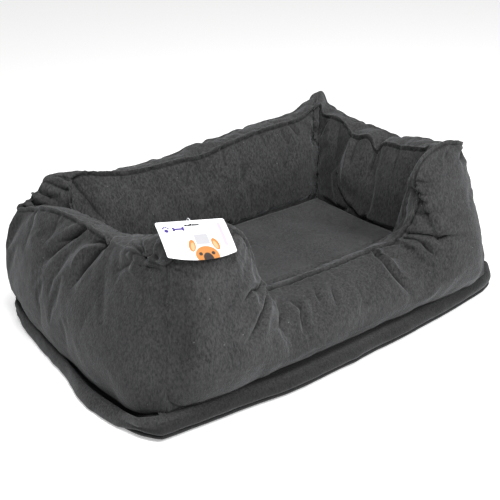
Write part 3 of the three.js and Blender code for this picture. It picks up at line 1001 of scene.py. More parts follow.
def back_plan(half: float, setback: float) -> WallPlan:
    """The back wall, from its peak at the back right corner."""
    knots = [
        BACK_RIGHT.knot(half, -1),
        Knot((-335, 56, 325), (-298, 96, 314), -372, -260, 15, 25, 24),
        Knot((-320, 57, 317), (-288, 99, 310), -352, -254, 13, 27, 27),
        Knot((-306, 57, 311), (-282, 99, 311), -330, -250, 10, 30, 30),
        Knot((-254, 58, 291), (-236, 99, 294), -274, -222),
        Knot((-143, 58, 286), (-140, 99, 291), -152, -132),
        Knot((-70, 58, 279), (-66, 99, 283), -76, -62),
        Knot((10, 58, 277), (14, 99, 271), 10, 10),
        Knot((50, 58, 268), (68, 99, 274), 54, 58),
        Knot((106, 58, 267), (122, 98, 275), 112, 108),
        Knot((174, 58, 267), (178, 95, 277), 184, 160),
        Knot((222, 58, 269), (222, 90, 284), 236, 198),
        Knot((286, 57, 287), (274, 84, 294), 316, 232),
        Knot((328, 56, 289), (296, 88, 280), 352, 248, 8, 28, 28),
        Knot((345, 48, 262), (303, 95, 250), 372, 260, 8, 22, 22),
        BACK_LEFT.knot(half, 1),
    ]
    folds = [
        Fold(((-332, 1.72), (-338, 2.14), (-326, 2.30), (-326, 2.50)), 7, 5, 0.5),
        Fold(((-362, 1.40), (-342, 1.58), (-326, 1.86)), 6, 4, 0.7, False),
        Fold(((-372, 1.15), (-374, 1.55), (-370, 2.0)), 5, 4, 0.7, False),
        Fold(((-45, 2.02), (-45, 2.16), (-45, 2.30)), 5, 5, 0.7),
        Fold(((-145, 2.06), (-155, 2.17), (-166, 2.28)), 5, 6, 0.6),
        Fold(((34, 2.10), (46, 2.23), (56, 2.38)), 5, 6, 0.6),
        Fold(((-245, 2.05), (-260, 2.14), (-276, 2.25)), 6, 5, 0.7),
        Fold(((-105, 2.28), (-85, 2.37), (-60, 2.44)), 5, 7, 0.6, False),
        Fold(((-236, 2.24), (-218, 2.36), (-190, 2.42)), 5, 7, 0.6, False),
        Fold(((5, 2.45), (25, 2.52), (50, 2.56)), 3, 7, 0.6, False),
        Fold(((342, 2.05), (330, 2.20), (306, 2.38), (270, 2.50)), 7, 7, 0.5),
        Fold(((150, 2.30), (176, 2.42), (210, 2.48)), 3, 8, 0.6, False),
        Fold(((360, 0.98), (362, 1.35), (364, 1.75), (360, 2.05)), 7, 4, 0.8, False),
        Fold(((348, 1.10), (346, 1.45), (348, 1.80), (340, 2.10)), 6, 4, 0.8, False),
        Fold(((372, 1.15), (376, 1.45), (384, 1.62)), 6, 4, 0.9),
        Fold(((382, 1.05), (386, 1.30), (390, 1.60)), 7, 4, 0.9),
        Fold(((380, 0.96), (372, 0.88), (360, 0.80)), 7, 5, 0.7),
        Fold(((200, 1.0), (190, 0.86), (196, 0.68)), 5, 5, 0.7),
        Fold(((90, 1.0), (98, 0.84), (92, 0.62)), 4, 5, 0.7),
        Fold(((-20, 1.0), (-32, 0.86), (-30, 0.66)), 5, 5, 0.7),
        Fold(((-130, 1.0), (-120, 0.85), (-126, 0.66)), 4, 5, 0.7),
        Fold(((-330, 1.0), (-300, 0.88), (-280, 0.72), (-272, 0.58)), 7, 5, 0.7),
        Fold(((-350, 0.96), (-340, 0.82), (-330, 0.66)), 5, 5, 0.7),
        Fold(((-250, 0.04), (-246, 0.18), (-256, 0.34)), 3, 6, 0.7),
        Fold(((60, 0.04), (66, 0.20), (58, 0.36)), 3, 6, 0.7),
    ]
    return WallPlan("back_wall", setback, 2, knots, folds)


def left_plan(half: float, setback: float) -> WallPlan:
    """The left wall, sagging towards the back."""
    knots = [
        BACK_LEFT.knot(half, -1),
        Knot((-198, 34, 239), (-150, 99, 231), -215, -120, 5, 22, 26, 5, 6),
        Knot((-138, 38, 261), (-122, 99, 235), -155, -104, -2, 36, 34, 5, 14),
        Knot((-84, 50, 263), (-84, 99, 238), -96, -74, -5, 42, 42, 5, 18),
        Knot((-42, 56, 258), (-40, 99, 240), -48, -34, -8, 42, 46, 5, 18),
        Knot((4, 57, 259), (6, 99, 243), 6, 8, -10, 42, 48, 5, 18),
        Knot((32, 57, 256), (36, 99, 252), 38, 32, -11, 42, 48, 5, 18),
        Knot((70, 56, 260), (66, 99, 264), 82, 58, -12, 42, 46, 5, 18),
        Knot((114, 56, 268), (104, 98, 278), 138, 88, -10, 38, 42, 5, 17),
        Knot((156, 55, 273), (134, 97, 292), 190, 110, -4, 36, 30, 9, 14),
        FRONT_LEFT.knot(half, 1),
    ]
    folds = [
        Fold(((-40, 0.98), (-52, 0.93), (-80, 0.86), (-112, 0.79)), 11, 4, 0.8),
        Fold(((-44, 0.96), (-60, 0.90), (-88, 0.79), (-134, 0.64)), 11, 4, 0.9),
        Fold(((36, 0.98), (24, 0.91), (14, 0.84), (4, 0.76), (-6, 0.62)), 20, 5, 0.4),
        Fold(((24, 0.94), (2, 0.88), (-10, 0.80), (-18, 0.70)), -12, 6, 0.5),
        Fold(((36, 0.985), (14, 0.955), (-14, 0.90)), 12, 4, 0.5),
        Fold(((146, 0.95), (130, 0.91), (100, 0.85)), 5, 4, 0.8),
        Fold(((160, 0.935), (192, 0.95), (228, 0.955)), 5, 2.8, 0.8, False),
        Fold(((118, 1.30), (150, 1.12), (178, 0.99), (190, 1.22), (186, 1.45)), 14, 3.4, 1.0, False),
        Fold(((108, 1.60), (140, 1.42), (170, 1.16)), 10, 3.2, 1.0, False),
        Fold(((178, 1.48), (196, 1.75), (226, 1.45)), 7, 4, 0.8, False),
        Fold(((196, 1.26), (210, 1.10), (214, 1.0)), 9, 6, 0.5, False),
        Fold(((-178, 1.25), (-168, 1.60), (-172, 2.0)), 6, 5, 0.8, False),
        Fold(((-205, 0.99), (-192, 1.35), (-196, 1.70)), 6, 4.5, 0.9, False),
        Fold(((-120, 0.97), (-122, 0.84), (-132, 0.70)), 3, 6, 0.8),
        Fold(((-190, 0.96), (-178, 0.82), (-176, 0.62)), 3, 6, 0.8),
        Fold(((60, 0.45), (70, 0.60), (90, 0.72)), 2, 8, 0.6, False),
        Fold(((-60, 2.10), (-52, 2.30), (-56, 2.50)), 5, 6, 0.7),
        Fold(((40, 2.08), (44, 2.26), (38, 2.46)), 5, 6, 0.7),
    ]
    return WallPlan("left_wall", setback, 3, knots, folds, (44, 112), 0.22)


# ---------------------------------------------------------------- base pad


PAD_OUTLINE = [
    (-402, -250), (-385, -257), (-335, -262), (-235, -271), (-150, -281), (-13, -281), (120, -275),
    (215, -270), (330, -259), (392, -248), (423, -230), (432, -192), (433, -90), (434, 20), (432, 130), (424, 225),
    (414, 252), (396, 266), (300, 274), (140, 282), (0, 284), (-140, 282), (-300, 274), (-376, 266),
    (-394, 256), (-402, 236), (-408, 190), (-415, 120), (-423, 30), (-431, -20), (-440, -65), (-443, -108),
    (-438, -150), (-430, -185), (-420, -222),
]


@dataclass
class BasePad:
    """The stuffed pad under everything, its skirt flaring out under the left wall.

    Attributes:
        outline: Places round its widest line, anticlockwise from the front left corner, in millimetres.
        body: The body that it belongs to.
        steps: How many steps each stretch of the outline is cut into.
    """

    outline: list[tuple[float, float]]
    body: str = "bed"
    steps: int = 22

    def band(self) -> list[tuple[float, float]]:
        """The cover's section where the pad has a full band: distance out from the outline, height."""
        return [
            (-0.070, 0.0135), (-0.040, 0.013), (-0.012, 0.013), (-0.007, 0.0132), (-0.0035, 0.0145),
            (-0.0015, 0.0175), (-0.0016, 0.0205), (-0.0030, 0.0222), (-0.0012, 0.0240), (0.0000, 0.0290),
            (-0.0008, 0.0335),
            (-0.0028, 0.0370), (-0.0052, 0.0385), (-0.0075, 0.0370), (-0.0100, 0.0315), (-0.0135, 0.0270),
            (-0.0200, 0.0265), (-0.0280, 0.0300), (-0.0360, 0.0370), (-0.070, 0.0395),
        ]

    def ledge(self) -> list[tuple[float, float]]:
        """The cover's section along the front, where its top edge shows as a ledge, with the band's rows."""
        return [
            (-0.070, 0.0135), (-0.040, 0.0132), (-0.012, 0.0130), (-0.007, 0.0132), (-0.0030, 0.0140),
            (-0.0008, 0.0165), (0.0000, 0.0200), (-0.0010, 0.0250), (-0.0030, 0.0295), (-0.0058, 0.0330),
            (-0.0095, 0.0352),
            (-0.0140, 0.0370), (-0.0190, 0.0385), (-0.0240, 0.0395), (-0.0290, 0.0398), (-0.0340, 0.0392),
            (-0.0400, 0.0386), (-0.0450, 0.0386), (-0.0500, 0.0390), (-0.070, 0.0395),
        ]

    def skirt(self) -> list[tuple[float, float]]:
        """The cover's section where the skirt flares out from a deep channel, row by row with the band's."""
        return [
            (-0.070, 0.0015), (-0.040, 0.0012), (-0.012, 0.0010), (-0.006, 0.0010), (-0.0015, 0.0022),
            (0.0000, 0.0060), (-0.0005, 0.0105), (-0.0020, 0.0150), (-0.0035, 0.0195), (-0.0055, 0.0235),
            (-0.0075, 0.0262),
            (-0.0095, 0.0268), (-0.0115, 0.0255), (-0.0135, 0.0215), (-0.0160, 0.0150), (-0.0200, 0.0095),
            (-0.0270, 0.0080), (-0.0340, 0.0100), (-0.0400, 0.0180), (-0.070, 0.0395),
        ]

    def under(self) -> list[tuple[float, float]]:
        """The underside's section."""
        return [
            (-0.070, 0.0), (-0.040, 0.0), (-0.016, 0.0005), (-0.008, 0.003), (-0.0035, 0.0065),
            (-0.0025, 0.0095), (-0.0040, 0.0118), (-0.010, 0.0124), (-0.040, 0.0124), (-0.070, 0.0124),
        ]

    def places(self) -> tuple[Array, Array]:
        """Points round the pad and the outward direction at each."""
        knots = np.array(self.outline) * MM
        ring = np.vstack([knots[-1:], knots, knots[:2]])
        points = spline(ring, [self.steps] * (len(ring) - 1))[self.steps : -self.steps - 1]
        for _ in range(3):
            points = 0.5 * points + 0.25 * (np.roll(points, 1, 0) + np.roll(points, -1, 0))
        along = np.roll(points, -1, 0) - np.roll(points, 1, 0)
        out = np.stack([along[:, 1], -along[:, 0]], axis=1)
        return points, out / np.linalg.norm(out, axis=1, keepdims=True)

    def make(self) -> list[bpy.types.Object]:
        """Builds the cover and the underside as two closed pieces."""
        points, out = self.places()
        flared = eased(-out[:, 0], 0.2, 0.9) * eased(points[:, 1], -0.225, -0.165)
        flared = flared * (1.0 - eased(points[:, 1], 0.20, 0.25))
        band, skirt = np.array(self.band()), np.array(self.skirt())
        wide = np.exp(-(((points[:, 1] + 0.125) / 0.075) ** 2))
        skirts = skirt[:, None, :] * np.ones((1, len(points), 1))
        skirts[5:16, :, 0] *= 1.0 + 0.75 * wide
        front = eased(-out[:, 1], 0.25, 0.85)
        fold_end = eased(points[:, 1], -0.232, -0.195)
        ledge = np.array(self.ledge())
        cover = mixed(band[:, None, :], skirts, flared[None, :, None])
        cover = mixed(cover, ledge[:, None, :], front[None, :, None])
        # Painted shade on the cover: the deep channel under the walls, the band's lower rows and the ledge beside
        # the front wall are darkened.
        under_wall, visible_front = slice(13, 19), slice(12, 18)
        channel = np.zeros(len(band))
        channel[under_wall] = 1.0
        groove = channel.copy()
        groove[2:6] = 0.6
        groove[6:8] = 0.8
        face = np.zeros(len(band))
        face[:8] = 0.72
        face[8:12] = (0.66, 0.54, 0.34, 0.32)
        face[visible_front] = 0.97
        hollow = mixed(groove[:, None], channel[:, None], flared[None, :])
        hollow[under_wall] *= np.where(points[:, 0] < 0.0, mixed(0.25, 1.0, fold_end), 1.0)
        hollow = mixed(hollow, face[:, None], front[None, :])
        # Less painted shade near the front left corner.
        corner = np.exp(-(np.hypot(points[:, 0] + 0.405, points[:, 1] + 0.250) / 0.045) ** 2)
        hollow[10:] *= 1.0 - 0.75 * corner
        tall = np.exp(-(np.hypot(points[:, 0] - 0.415, points[:, 1] + 0.235) / 0.075) ** 2)
        cover[5:18, :, 1] *= 1.0 + 0.32 * tall
        under = np.array(self.under())[:, None, :] * np.ones((1, len(points), 1))
        under[:, :, 0] -= 0.004 * flared
        under[:, :, 1] *= 1.0 - 0.95 * flared
        stands_for = ("base_band", "base_filling", "deck_panel")
        pad = self.closed("base_cover", self.rings(points, out, cover), stands_for)
        paint_hollow_shade(pad, hollow.ravel())
        sole = self.closed("base_underside", self.rings(points, out, under), ("underside_panel",))
        return [pad, sole]

    def rings(self, points: Array, out: Array, section: Array) -> Array:
        """Sweeps a section round the outline, with shallow gathers.

        Args:
            points: The outline.
            out: Outward direction at each of its points.
            section: Rows by points by two: distances out from the outline and heights.

        Returns:
            Rows by points by three.
        """
        flat = np.column_stack([points, np.zeros(len(points))])
        rings = []
        for row in section:
            share = eased(row[:, 0], -0.03, -0.002)
            tall = np.column_stack([points, row[:, 1] * 1.5])
            gather = value_noise(tall, 0.020, 11) * 0.0012 + value_noise(flat, 0.06, 12) * 0.0022
            xy = points + out * (row[:, 0] + gather * share)[:, None]
            rings.append(np.column_stack([xy, row[:, 1]]))
        return np.array(rings)

    def closed(self, name: str, rings: Array, nodes: tuple[str, ...]) -> bpy.types.Object:
        """Joins the rings into one closed piece with flat middles.

        Args:
            name: The piece's name.
            rings: Rings by points by three, from the lower middle outwards and back in on top.
            nodes: The solids that it stands for.

        Returns:
            The piece.
        """
        count, per = rings.shape[:2]
        vertices = rings.reshape(-1, 3)
        faces = []
        for i in range(count - 1):
            for j in range(per):
                k = (j + 1) % per
                faces.append((i * per + j, i * per + k, (i + 1) * per + k, (i + 1) * per + j))
        faces.append(tuple(range(per))[::-1])
        faces.append(tuple((count - 1) * per + j for j in range(per)))
        made = piece_from(name, vertices, faces)
        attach(made, self.body)
        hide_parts(*nodes)
        return made


# ---------------------------------------------------------------- loose cushion


@dataclass
class LooseCushion:
    """The loose cushion in the well.

    Attributes:
        low: Lowest corner of the space it fills.
        high: Highest corner.
        body: The body that it belongs to.
    """

    low: Vector
    high: Vector
    body: str = "cushion"

    @staticmethod
    def places(count: int) -> Array:
        """Places from -1 to 1, closer together towards the ends."""
        even = np.linspace(-1, 1, count)
        return np.sin(even * math.pi / 2) * 0.35 + even * 0.65

    def make(self) -> bpy.types.Object:
        """Builds the cushion as one closed padded piece."""
        nx, ny = 150, 76
        spread = np.array([0.008, 0.008, 0.005])
        half = (np.array(self.high) - np.array(self.low)) / 2 + spread
        middle = (np.array(self.high) + np.array(self.low)) / 2 + np.array([0.0, 0.0, 0.002])
        gu, gv = np.meshgrid(self.places(nx), self.places(ny), indexing="ij")
        edge = 0.020
        ax, ay = half[0], half[1]
        dx = (1 - np.abs(gu)) * ax
        dy = (1 - np.abs(gv)) * ay
        near = np.minimum(dx, dy)
        rise = np.sqrt(np.clip(1 - (1 - np.clip(near / edge, 0, 1)) ** 2, 0, 1))
        x = gu * ax
        y = gv * ay
        pull = 0.006 * (1 - (gu**4)) * np.abs(gv) ** 6
        y = y - np.sign(gv) * pull
        top_z = middle[2] + half[2] * rise
        low_z = middle[2] - half[2] * rise
        points = np.stack([x + middle[0], y + middle[1], top_z], axis=-1)
        flat = points.reshape(-1, 3) * np.array([1, 1, 0])
        wave = 0.0028 * value_noise(flat, 0.11, 21) + 0.0012 * value_noise(flat, 0.04, 22)
        points[..., 2] += (wave.reshape(nx, ny) - 0.001 + 0.005 * np.exp(-near / 0.03)) * rise
        under = np.stack([x + middle[0], y + middle[1], low_z], axis=-1)
        border = np.zeros((nx, ny), bool)
        border[[0, -1], :] = True
        border[:, [0, -1]] = True
        number = np.arange(nx * ny).reshape(nx, ny)
        below = np.where(border, number, -1)
        inner = np.argwhere(~border)
        below[~border] = nx * ny + np.arange(len(inner))
        vertices = np.vstack([points.reshape(-1, 3), under[~border]])
        faces = []
        for i in range(nx - 1):
            for j in range(ny - 1):
                a, b, c, d = (i, j), (i + 1, j), (i + 1, j + 1), (i, j + 1)
                faces.append([number[k] for k in (a, b, c, d)])
                faces.append([below[k] for k in (d, c, b, a)])
        made = piece_from("loose_cushion", vertices, faces)
        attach(made, self.body)
        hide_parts("cushion_top_cover", "cushion_bottom_cover", "cushion_filling")
        return made


# ---------------------------------------------------------------- hang card

CARD_SLOT = Vector((-0.281, -0.1833, 0.3199))
CARD_ACROSS = Vector((0.9794, -0.1029, -0.1736)).normalized()
CARD_NORMAL = Vector((0.094, -0.528, 0.844)).normalized()
CARD_SIZE = (0.124, 0.073)


@dataclass
class HangCard:
    """The printed card, with its picture laid out from its slot.

    Attributes:
        across: Direction of its width.
        normal: Direction that its face looks.
        size: Width and height that the picture spans, in metres.
        body: The body that it belongs to.
    """

    across: Vector
    normal: Vector
    size: tuple[float, float]
    body: str = "card"

    def make(self, node: bpy.types.Object) -> bpy.types.Object:
        """Copies the card's solid and gives it a picture layout.

        Args:
            node: The card's solid.

        Returns:
            The piece.
        """
        corners = [node.matrix_world @ vertex.co for vertex in node.data.vertices]
        made = piece_from("printed_hang_card", corners, [tuple(face.vertices) for face in node.data.polygons])
        merged = bmesh.new()
        merged.from_mesh(made.data)
        bmesh.ops.remove_doubles(merged, verts=merged.verts, dist=0.01 * MM)
        merged.to_mesh(made.data)
        merged.free()
        points = np.array([vertex.co for vertex in made.data.vertices])
        across = np.array(self.across.normalized())
        normal = np.array(self.normal.normalized())
        down = np.cross(across, normal)
        down = down if down[2] < 0 else -down
        u = (points @ across - (points @ across).min()) / self.size[0]
        v = (points @ down - (points @ down).min()) / self.size[1]
        made.data.polygons.foreach_set("use_smooth", [False] * len(made.data.polygons))
        layer = made.data.uv_layers.new(name="picture")
        for loop in made.data.loops:
            layer.data[loop.index].uv = (u[loop.vertex_index], 1.0 - v[loop.vertex_index])
        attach(made, self.body)
        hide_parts("hang_card")
        return made


# ---------------------------------------------------------------- finishes


class Shader:
    """A small helper that adds nodes to a tree and links them."""

    def __init__(self, tree: bpy.types.NodeTree) -> None:
        """Starts on a node tree."""
        self.tree = tree

    def add(
        self, kind: str, inputs: dict[str | int, object] | None = None, **settings: object
    ) -> bpy.types.Node:
        """Adds a node.

        Args:
            kind: The node type's name.
            inputs: Values, or sockets to link from, by input name or number.
            settings: Properties of the node.

        Returns:
            The node.
        """
        node = self.tree.nodes.new(kind)
        for key, value in settings.items():
            setattr(node, key, value)
        for key, value in (inputs or {}).items():
            socket = node.inputs[key]
            if isinstance(value, bpy.types.NodeSocket):
                self.tree.links.new(value, socket)
            else:
                socket.default_value = value
        return node


def new_group(name: str, inputs: dict[str, str], outputs: dict[str, str]) -> tuple[Shader, bpy.types.Node]:
    """Starts a node group.

    Args:
        name: The group's name.
        inputs: The kind of each input, by name: Vector, Color or Float.
        outputs: The kind of each output, the same.

    Returns:
        The helper on its tree, and the node that hands its inputs in.
    """
    tree = bpy.data.node_groups.new(name, "ShaderNodeTree")
    for in_out, sockets in (("INPUT", inputs), ("OUTPUT", outputs)):
        for label, kind in sockets.items():
            tree.interface.new_socket(label, in_out=in_out, socket_type=f"NodeSocket{kind}")
    helper = Shader(tree)
    return helper, helper.add("NodeGroupInput")


def new_material(name: str, color: Sequence[float]) -> tuple[bpy.types.Material, Shader, bpy.types.Node]:
    """Starts a material.

    Args:
        name: The material's name.
        color: Its colour in plain views.

    Returns:
        The material, the helper on its tree, and its shader node.
    """
    made = bpy.data.materials.new(name)
    made.use_nodes = True
    made.diffuse_color = (*color, 1.0)
    shader = next(n for n in made.node_tree.nodes if n.type == "BSDF_PRINCIPLED")
    return made, Shader(made.node_tree), shader


def nap_group() -> bpy.types.NodeTree:
    """The brushed nap that both cloths share: its mottle, its height and stray flecks, darkened by each piece's
    painted shade.
    """
    s, given = new_group(
        "brushed_nap",
        {"Point": "Vector", "Dark": "Color", "Light": "Color", "Flecks": "Float", "Painted_Shade": "Float"},
        {"Color": "Color", "Height": "Float", "Roughness": "Float"},
    )
    tree = s.tree
    point = given.outputs["Point"]
    brushed = s.add(
        "ShaderNodeMapping", {"Vector": point, "Rotation": (0.5, 0.6, 0.4), "Scale": (1.0, 1.0, 0.42)}
    )
    nap = brushed.outputs[0]
    fine = s.add("ShaderNodeTexNoise", {"Vector": nap, "Scale": 460.0, "Detail": 4.0, "Roughness": 0.7})
    tuft = s.add("ShaderNodeTexNoise", {"Vector": nap, "Scale": 290.0, "Detail": 2.0, "Roughness": 0.6})
    patch = s.add("ShaderNodeTexNoise", {"Vector": point, "Scale": 14.0, "Detail": 3.0, "Roughness": 0.55})
    grain = s.add(
        "ShaderNodeMath", {0: fine.outputs["Fac"], 1: tuft.outputs["Fac"]}, operation="ADD"
    )
    mottle = s.add(
        "ShaderNodeMath", {0: patch.outputs["Fac"], 1: 0.35, 2: grain.outputs[0]}, operation="MULTIPLY_ADD"
    )
    spread = s.add(
        "ShaderNodeMapRange",
        {"Value": mottle.outputs[0], "From Min": 0.95, "From Max": 1.40, "To Min": 0.0, "To Max": 1.0},
    )
    tone = s.add("ShaderNodeMix", {"Factor": spread.outputs[0]}, data_type="RGBA")
    tree.links.new(given.outputs["Dark"], tone.inputs[6])
    tree.links.new(given.outputs["Light"], tone.inputs[7])
    specks = s.add("ShaderNodeTexVoronoi", {"Vector": point, "Scale": 46.0, "Randomness": 1.0})
    near = s.add("ShaderNodeMath", {0: specks.outputs["Distance"], 1: 0.035}, operation="LESS_THAN")
    amount = s.add("ShaderNodeMath", {0: near.outputs[0], 1: given.outputs["Flecks"]}, operation="MULTIPLY")
    lint = (0.30, 0.30, 0.31, 1.0)
    flecked = s.add("ShaderNodeMix", {"Factor": amount.outputs[0], 7: lint}, data_type="RGBA")
    tree.links.new(tone.outputs[2], flecked.inputs[6])
    # Painted shade: the stored value darkens the colour down to 12 %.
    shade = s.add(
        "ShaderNodeMapRange", {"Value": given.outputs["Painted_Shade"], "To Min": 1.0, "To Max": 0.12}, clamp=True
    )
    deep = s.add("ShaderNodeVectorMath", {0: flecked.outputs[2]}, operation="SCALE")
    tree.links.new(shade.outputs[0], deep.inputs["Scale"])
    rough = s.add(
        "ShaderNodeMapRange",
        {"Value": tuft.outputs["Fac"], "From Min": 0.3, "From Max": 0.7, "To Min": 0.82, "To Max": 0.98},
    )
    s.add(
        "NodeGroupOutput",
        {"Color": deep.outputs[0], "Height": grain.outputs[0], "Roughness": rough.outputs[0]},
    )
    return tree


@dataclass(frozen=True)
class Cloth:
    """A brushed cloth.

    Attributes:
        name: The material's name.
        dark: Colour in the hollows of the nap.
        light: Colour on the brushed tips.
        sheen: Weight of the soft edge light.
        relief: Depth of the nap in metres.
        flecks: How strongly stray lint shows.
    """

    name: str
    dark: tuple[float, float, float]
    light: tuple[float, float, float]
    sheen: float
    relief: float
    flecks: float

    def material(self, nap: bpy.types.NodeTree) -> bpy.types.Material:
        """Builds the material.

        Args:
            nap: The shared nap group.

        Returns:
            The material.
        """
        made, s, shader = new_material(self.name, self.light)
        tree = s.tree
        place = s.add("ShaderNodeTexCoord")
        group = s.add("ShaderNodeGroup", node_tree=nap)
        tree.links.new(place.outputs["Object"], group.inputs["Point"])
        group.inputs["Dark"].default_value = (*self.dark, 1.0)
        group.inputs["Light"].default_value = (*self.light, 1.0)
        group.inputs["Flecks"].default_value = self.flecks
        # Each piece's stored painted shade, read from its hollow attribute.
        stored = s.add("ShaderNodeAttribute", attribute_name="hollow")
        tree.links.new(stored.outputs["Fac"], group.inputs["Painted_Shade"])
        bump = s.add(
            "ShaderNodeBump", {"Height": group.outputs["Height"], "Strength": 0.8, "Distance": self.relief}
        )
        tree.links.new(group.outputs["Color"], shader.inputs["Base Color"])
        tree.links.new(group.outputs["Roughness"], shader.inputs["Roughness"])
        tree.links.new(bump.outputs["Normal"], shader.inputs["Normal"])
        shader.inputs["Sheen Weight"].default_value = self.sheen
        shader.inputs["Sheen Roughness"].default_value = 0.45
        shader.inputs["Sheen Tint"].default_value = (0.85, 0.87, 0.9, 1.0)
        shader.inputs["Specular IOR Level"].default_value = 0.25
        return made


COVER = Cloth("cover_cloth", (0.012, 0.012, 0.0125), (0.048, 0.048, 0.049), 0.16, 0.0009, 0.5)
UNDERSIDE = Cloth("underside_cloth", (0.008, 0.008, 0.008), (0.022, 0.022, 0.023), 0.1, 0.0004, 0.0)


@dataclass(frozen=True)
class Plain:
    """A plain finish whose roughness varies a little over the surface.

    Attributes:
        name: The material's name.
        color: Its colour.
        roughness: Its roughness, halfway between the smoothest and roughest spots.
        glow: Strength of its own white light.
    """

    name: str
    color: tuple[float, float, float]
    roughness: float
    glow: float = 0.0

    def material(self) -> bpy.types.Material:
        """Builds the material."""
        made, s, shader = new_material(self.name, self.color)
        tree = s.tree
        place = s.add("ShaderNodeTexCoord")
        noise = s.add("ShaderNodeTexNoise", {"Vector": place.outputs["Object"], "Scale": 60.0, "Detail": 3.0})
        rough = s.add(
            "ShaderNodeMapRange",
            {"Value": noise.outputs["Fac"], "To Min": self.roughness - 0.06, "To Max": self.roughness + 0.06},
        )
        tree.links.new(rough.outputs[0], shader.inputs["Roughness"])
        shader.inputs["Base Color"].default_value = (*self.color, 1.0)
        shader.inputs["Emission Color"].default_value = (1.0, 1.0, 1.0, 1.0)
        shader.inputs["Emission Strength"].default_value = self.glow
        return made


class Shape(Enum):
    """Plain shapes that a card's picture is built from."""

    OVAL = "oval"
    BAR = "bar"


@dataclass(frozen=True)
class Mark:
    """One plain shape printed on the card, in shares of the card's width and height from its top left.

    Attributes:
        shape: Which shape.
        middle: Its middle.
        half: Half its width and height.
        color: Its ink.
        turn: How far it is turned, in degrees.
    """

    shape: Shape
    middle: tuple[float, float]
    half: tuple[float, float]
    color: tuple[float, float, float]
    turn: float = 0.0


def mark_group() -> bpy.types.NodeTree:
    """The mask of one shape: 1 inside it. Round is 2 for an oval and large for a bar."""
    s, given = new_group(
        "printed_mark",
        {"Place": "Vector", "Middle": "Vector", "Half": "Vector", "Turn": "Float", "Round": "Float"},
        {"Mask": "Float"},
    )
    tree = s.tree
    place, middle, half = (given.outputs[label] for label in ("Place", "Middle", "Half"))
    moved = s.add("ShaderNodeVectorMath", {0: place, 1: middle}, operation="SUBTRACT")
    turned = s.add("ShaderNodeVectorRotate", {"Vector": moved.outputs[0]}, rotation_type="Z_AXIS")
    tree.links.new(given.outputs["Turn"], turned.inputs["Angle"])
    scaled = s.add("ShaderNodeVectorMath", {0: turned.outputs[0], 1: half}, operation="DIVIDE")
    size = s.add("ShaderNodeVectorMath", {0: scaled.outputs[0]}, operation="ABSOLUTE")
    parts = s.add("ShaderNodeSeparateXYZ", {0: size.outputs[0]})
    powers = []
    for axis in (0, 1):
        power = s.add("ShaderNodeMath", {0: parts.outputs[axis]}, operation="POWER")
        tree.links.new(given.outputs["Round"], power.inputs[1])
        powers.append(power)
    total = s.add("ShaderNodeMath", {0: powers[0].outputs[0], 1: powers[1].outputs[0]}, operation="ADD")
    mask = s.add(
        "ShaderNodeMapRange",
        {"Value": total.outputs[0], "From Min": 0.92, "From Max": 1.08, "To Min": 1.0, "To Max": 0.0},
    )
    s.add("NodeGroupOutput", {"Mask": mask.outputs[0]})
    return tree


@dataclass(frozen=True)
class Picture:
    """The card's picture: plain shapes laid one over another on white.

    Attributes:
        name: The material's name.
        paper: The card's colour.
        marks: The shapes, the lowest first.
    """

    name: str
    paper: tuple[float, float, float]
    marks: tuple[Mark, ...]

    def material(self) -> bpy.types.Material:
        """Builds the material."""
        made, s, shader = new_material(self.name, self.paper)
        tree = s.tree
        layout = s.add("ShaderNodeUVMap", uv_map="picture")
        group = mark_group()
        color: bpy.types.NodeSocket | Sequence[float] = (*self.paper, 1.0)
        wide_over_tall = CARD_SIZE[0] / CARD_SIZE[1]
        widened = (wide_over_tall, 1.0, 1.0)
        square = s.add("ShaderNodeVectorMath", {0: layout.outputs[0], 1: widened}, operation="MULTIPLY")
        for mark in self.marks:
            mask = s.add("ShaderNodeGroup", node_tree=group)
            tree.links.new(square.outputs[0], mask.inputs["Place"])
            mask.inputs["Middle"].default_value = (mark.middle[0] * wide_over_tall, 1.0 - mark.middle[1], 0.0)
            mask.inputs["Half"].default_value = (mark.half[0] * wide_over_tall, mark.half[1], 1.0)
            mask.inputs["Turn"].default_value = math.radians(mark.turn)
            mask.inputs["Round"].default_value = 2.0 if mark.shape is Shape.OVAL else 10.0
            inks = {"Factor": mask.outputs[0], 6: color, 7: (*mark.color, 1.0)}
            mix = s.add("ShaderNodeMix", inks, data_type="RGBA")
            color = mix.outputs[2]
        tree.links.new(color, shader.inputs["Base Color"])
        place = s.add("ShaderNodeTexCoord")
        noise = s.add("ShaderNodeTexNoise", {"Vector": place.outputs["Object"], "Scale": 90.0, "Detail": 2.0})
        rough = s.add("ShaderNodeMapRange", {"Value": noise.outputs["Fac"], "To Min": 0.30, "To Max": 0.42})
        tree.links.new(rough.outputs[0], shader.inputs["Roughness"])
        return made


VIOLET = (0.045, 0.025, 0.17)
LAVENDER = (0.42, 0.38, 0.62)
TAN = (0.42, 0.17, 0.045)
LIGHT_TAN = (0.55, 0.32, 0.17)
BROWN = (0.03, 0.022, 0.02)
PALE_GREY = (0.36, 0.36, 0.38)


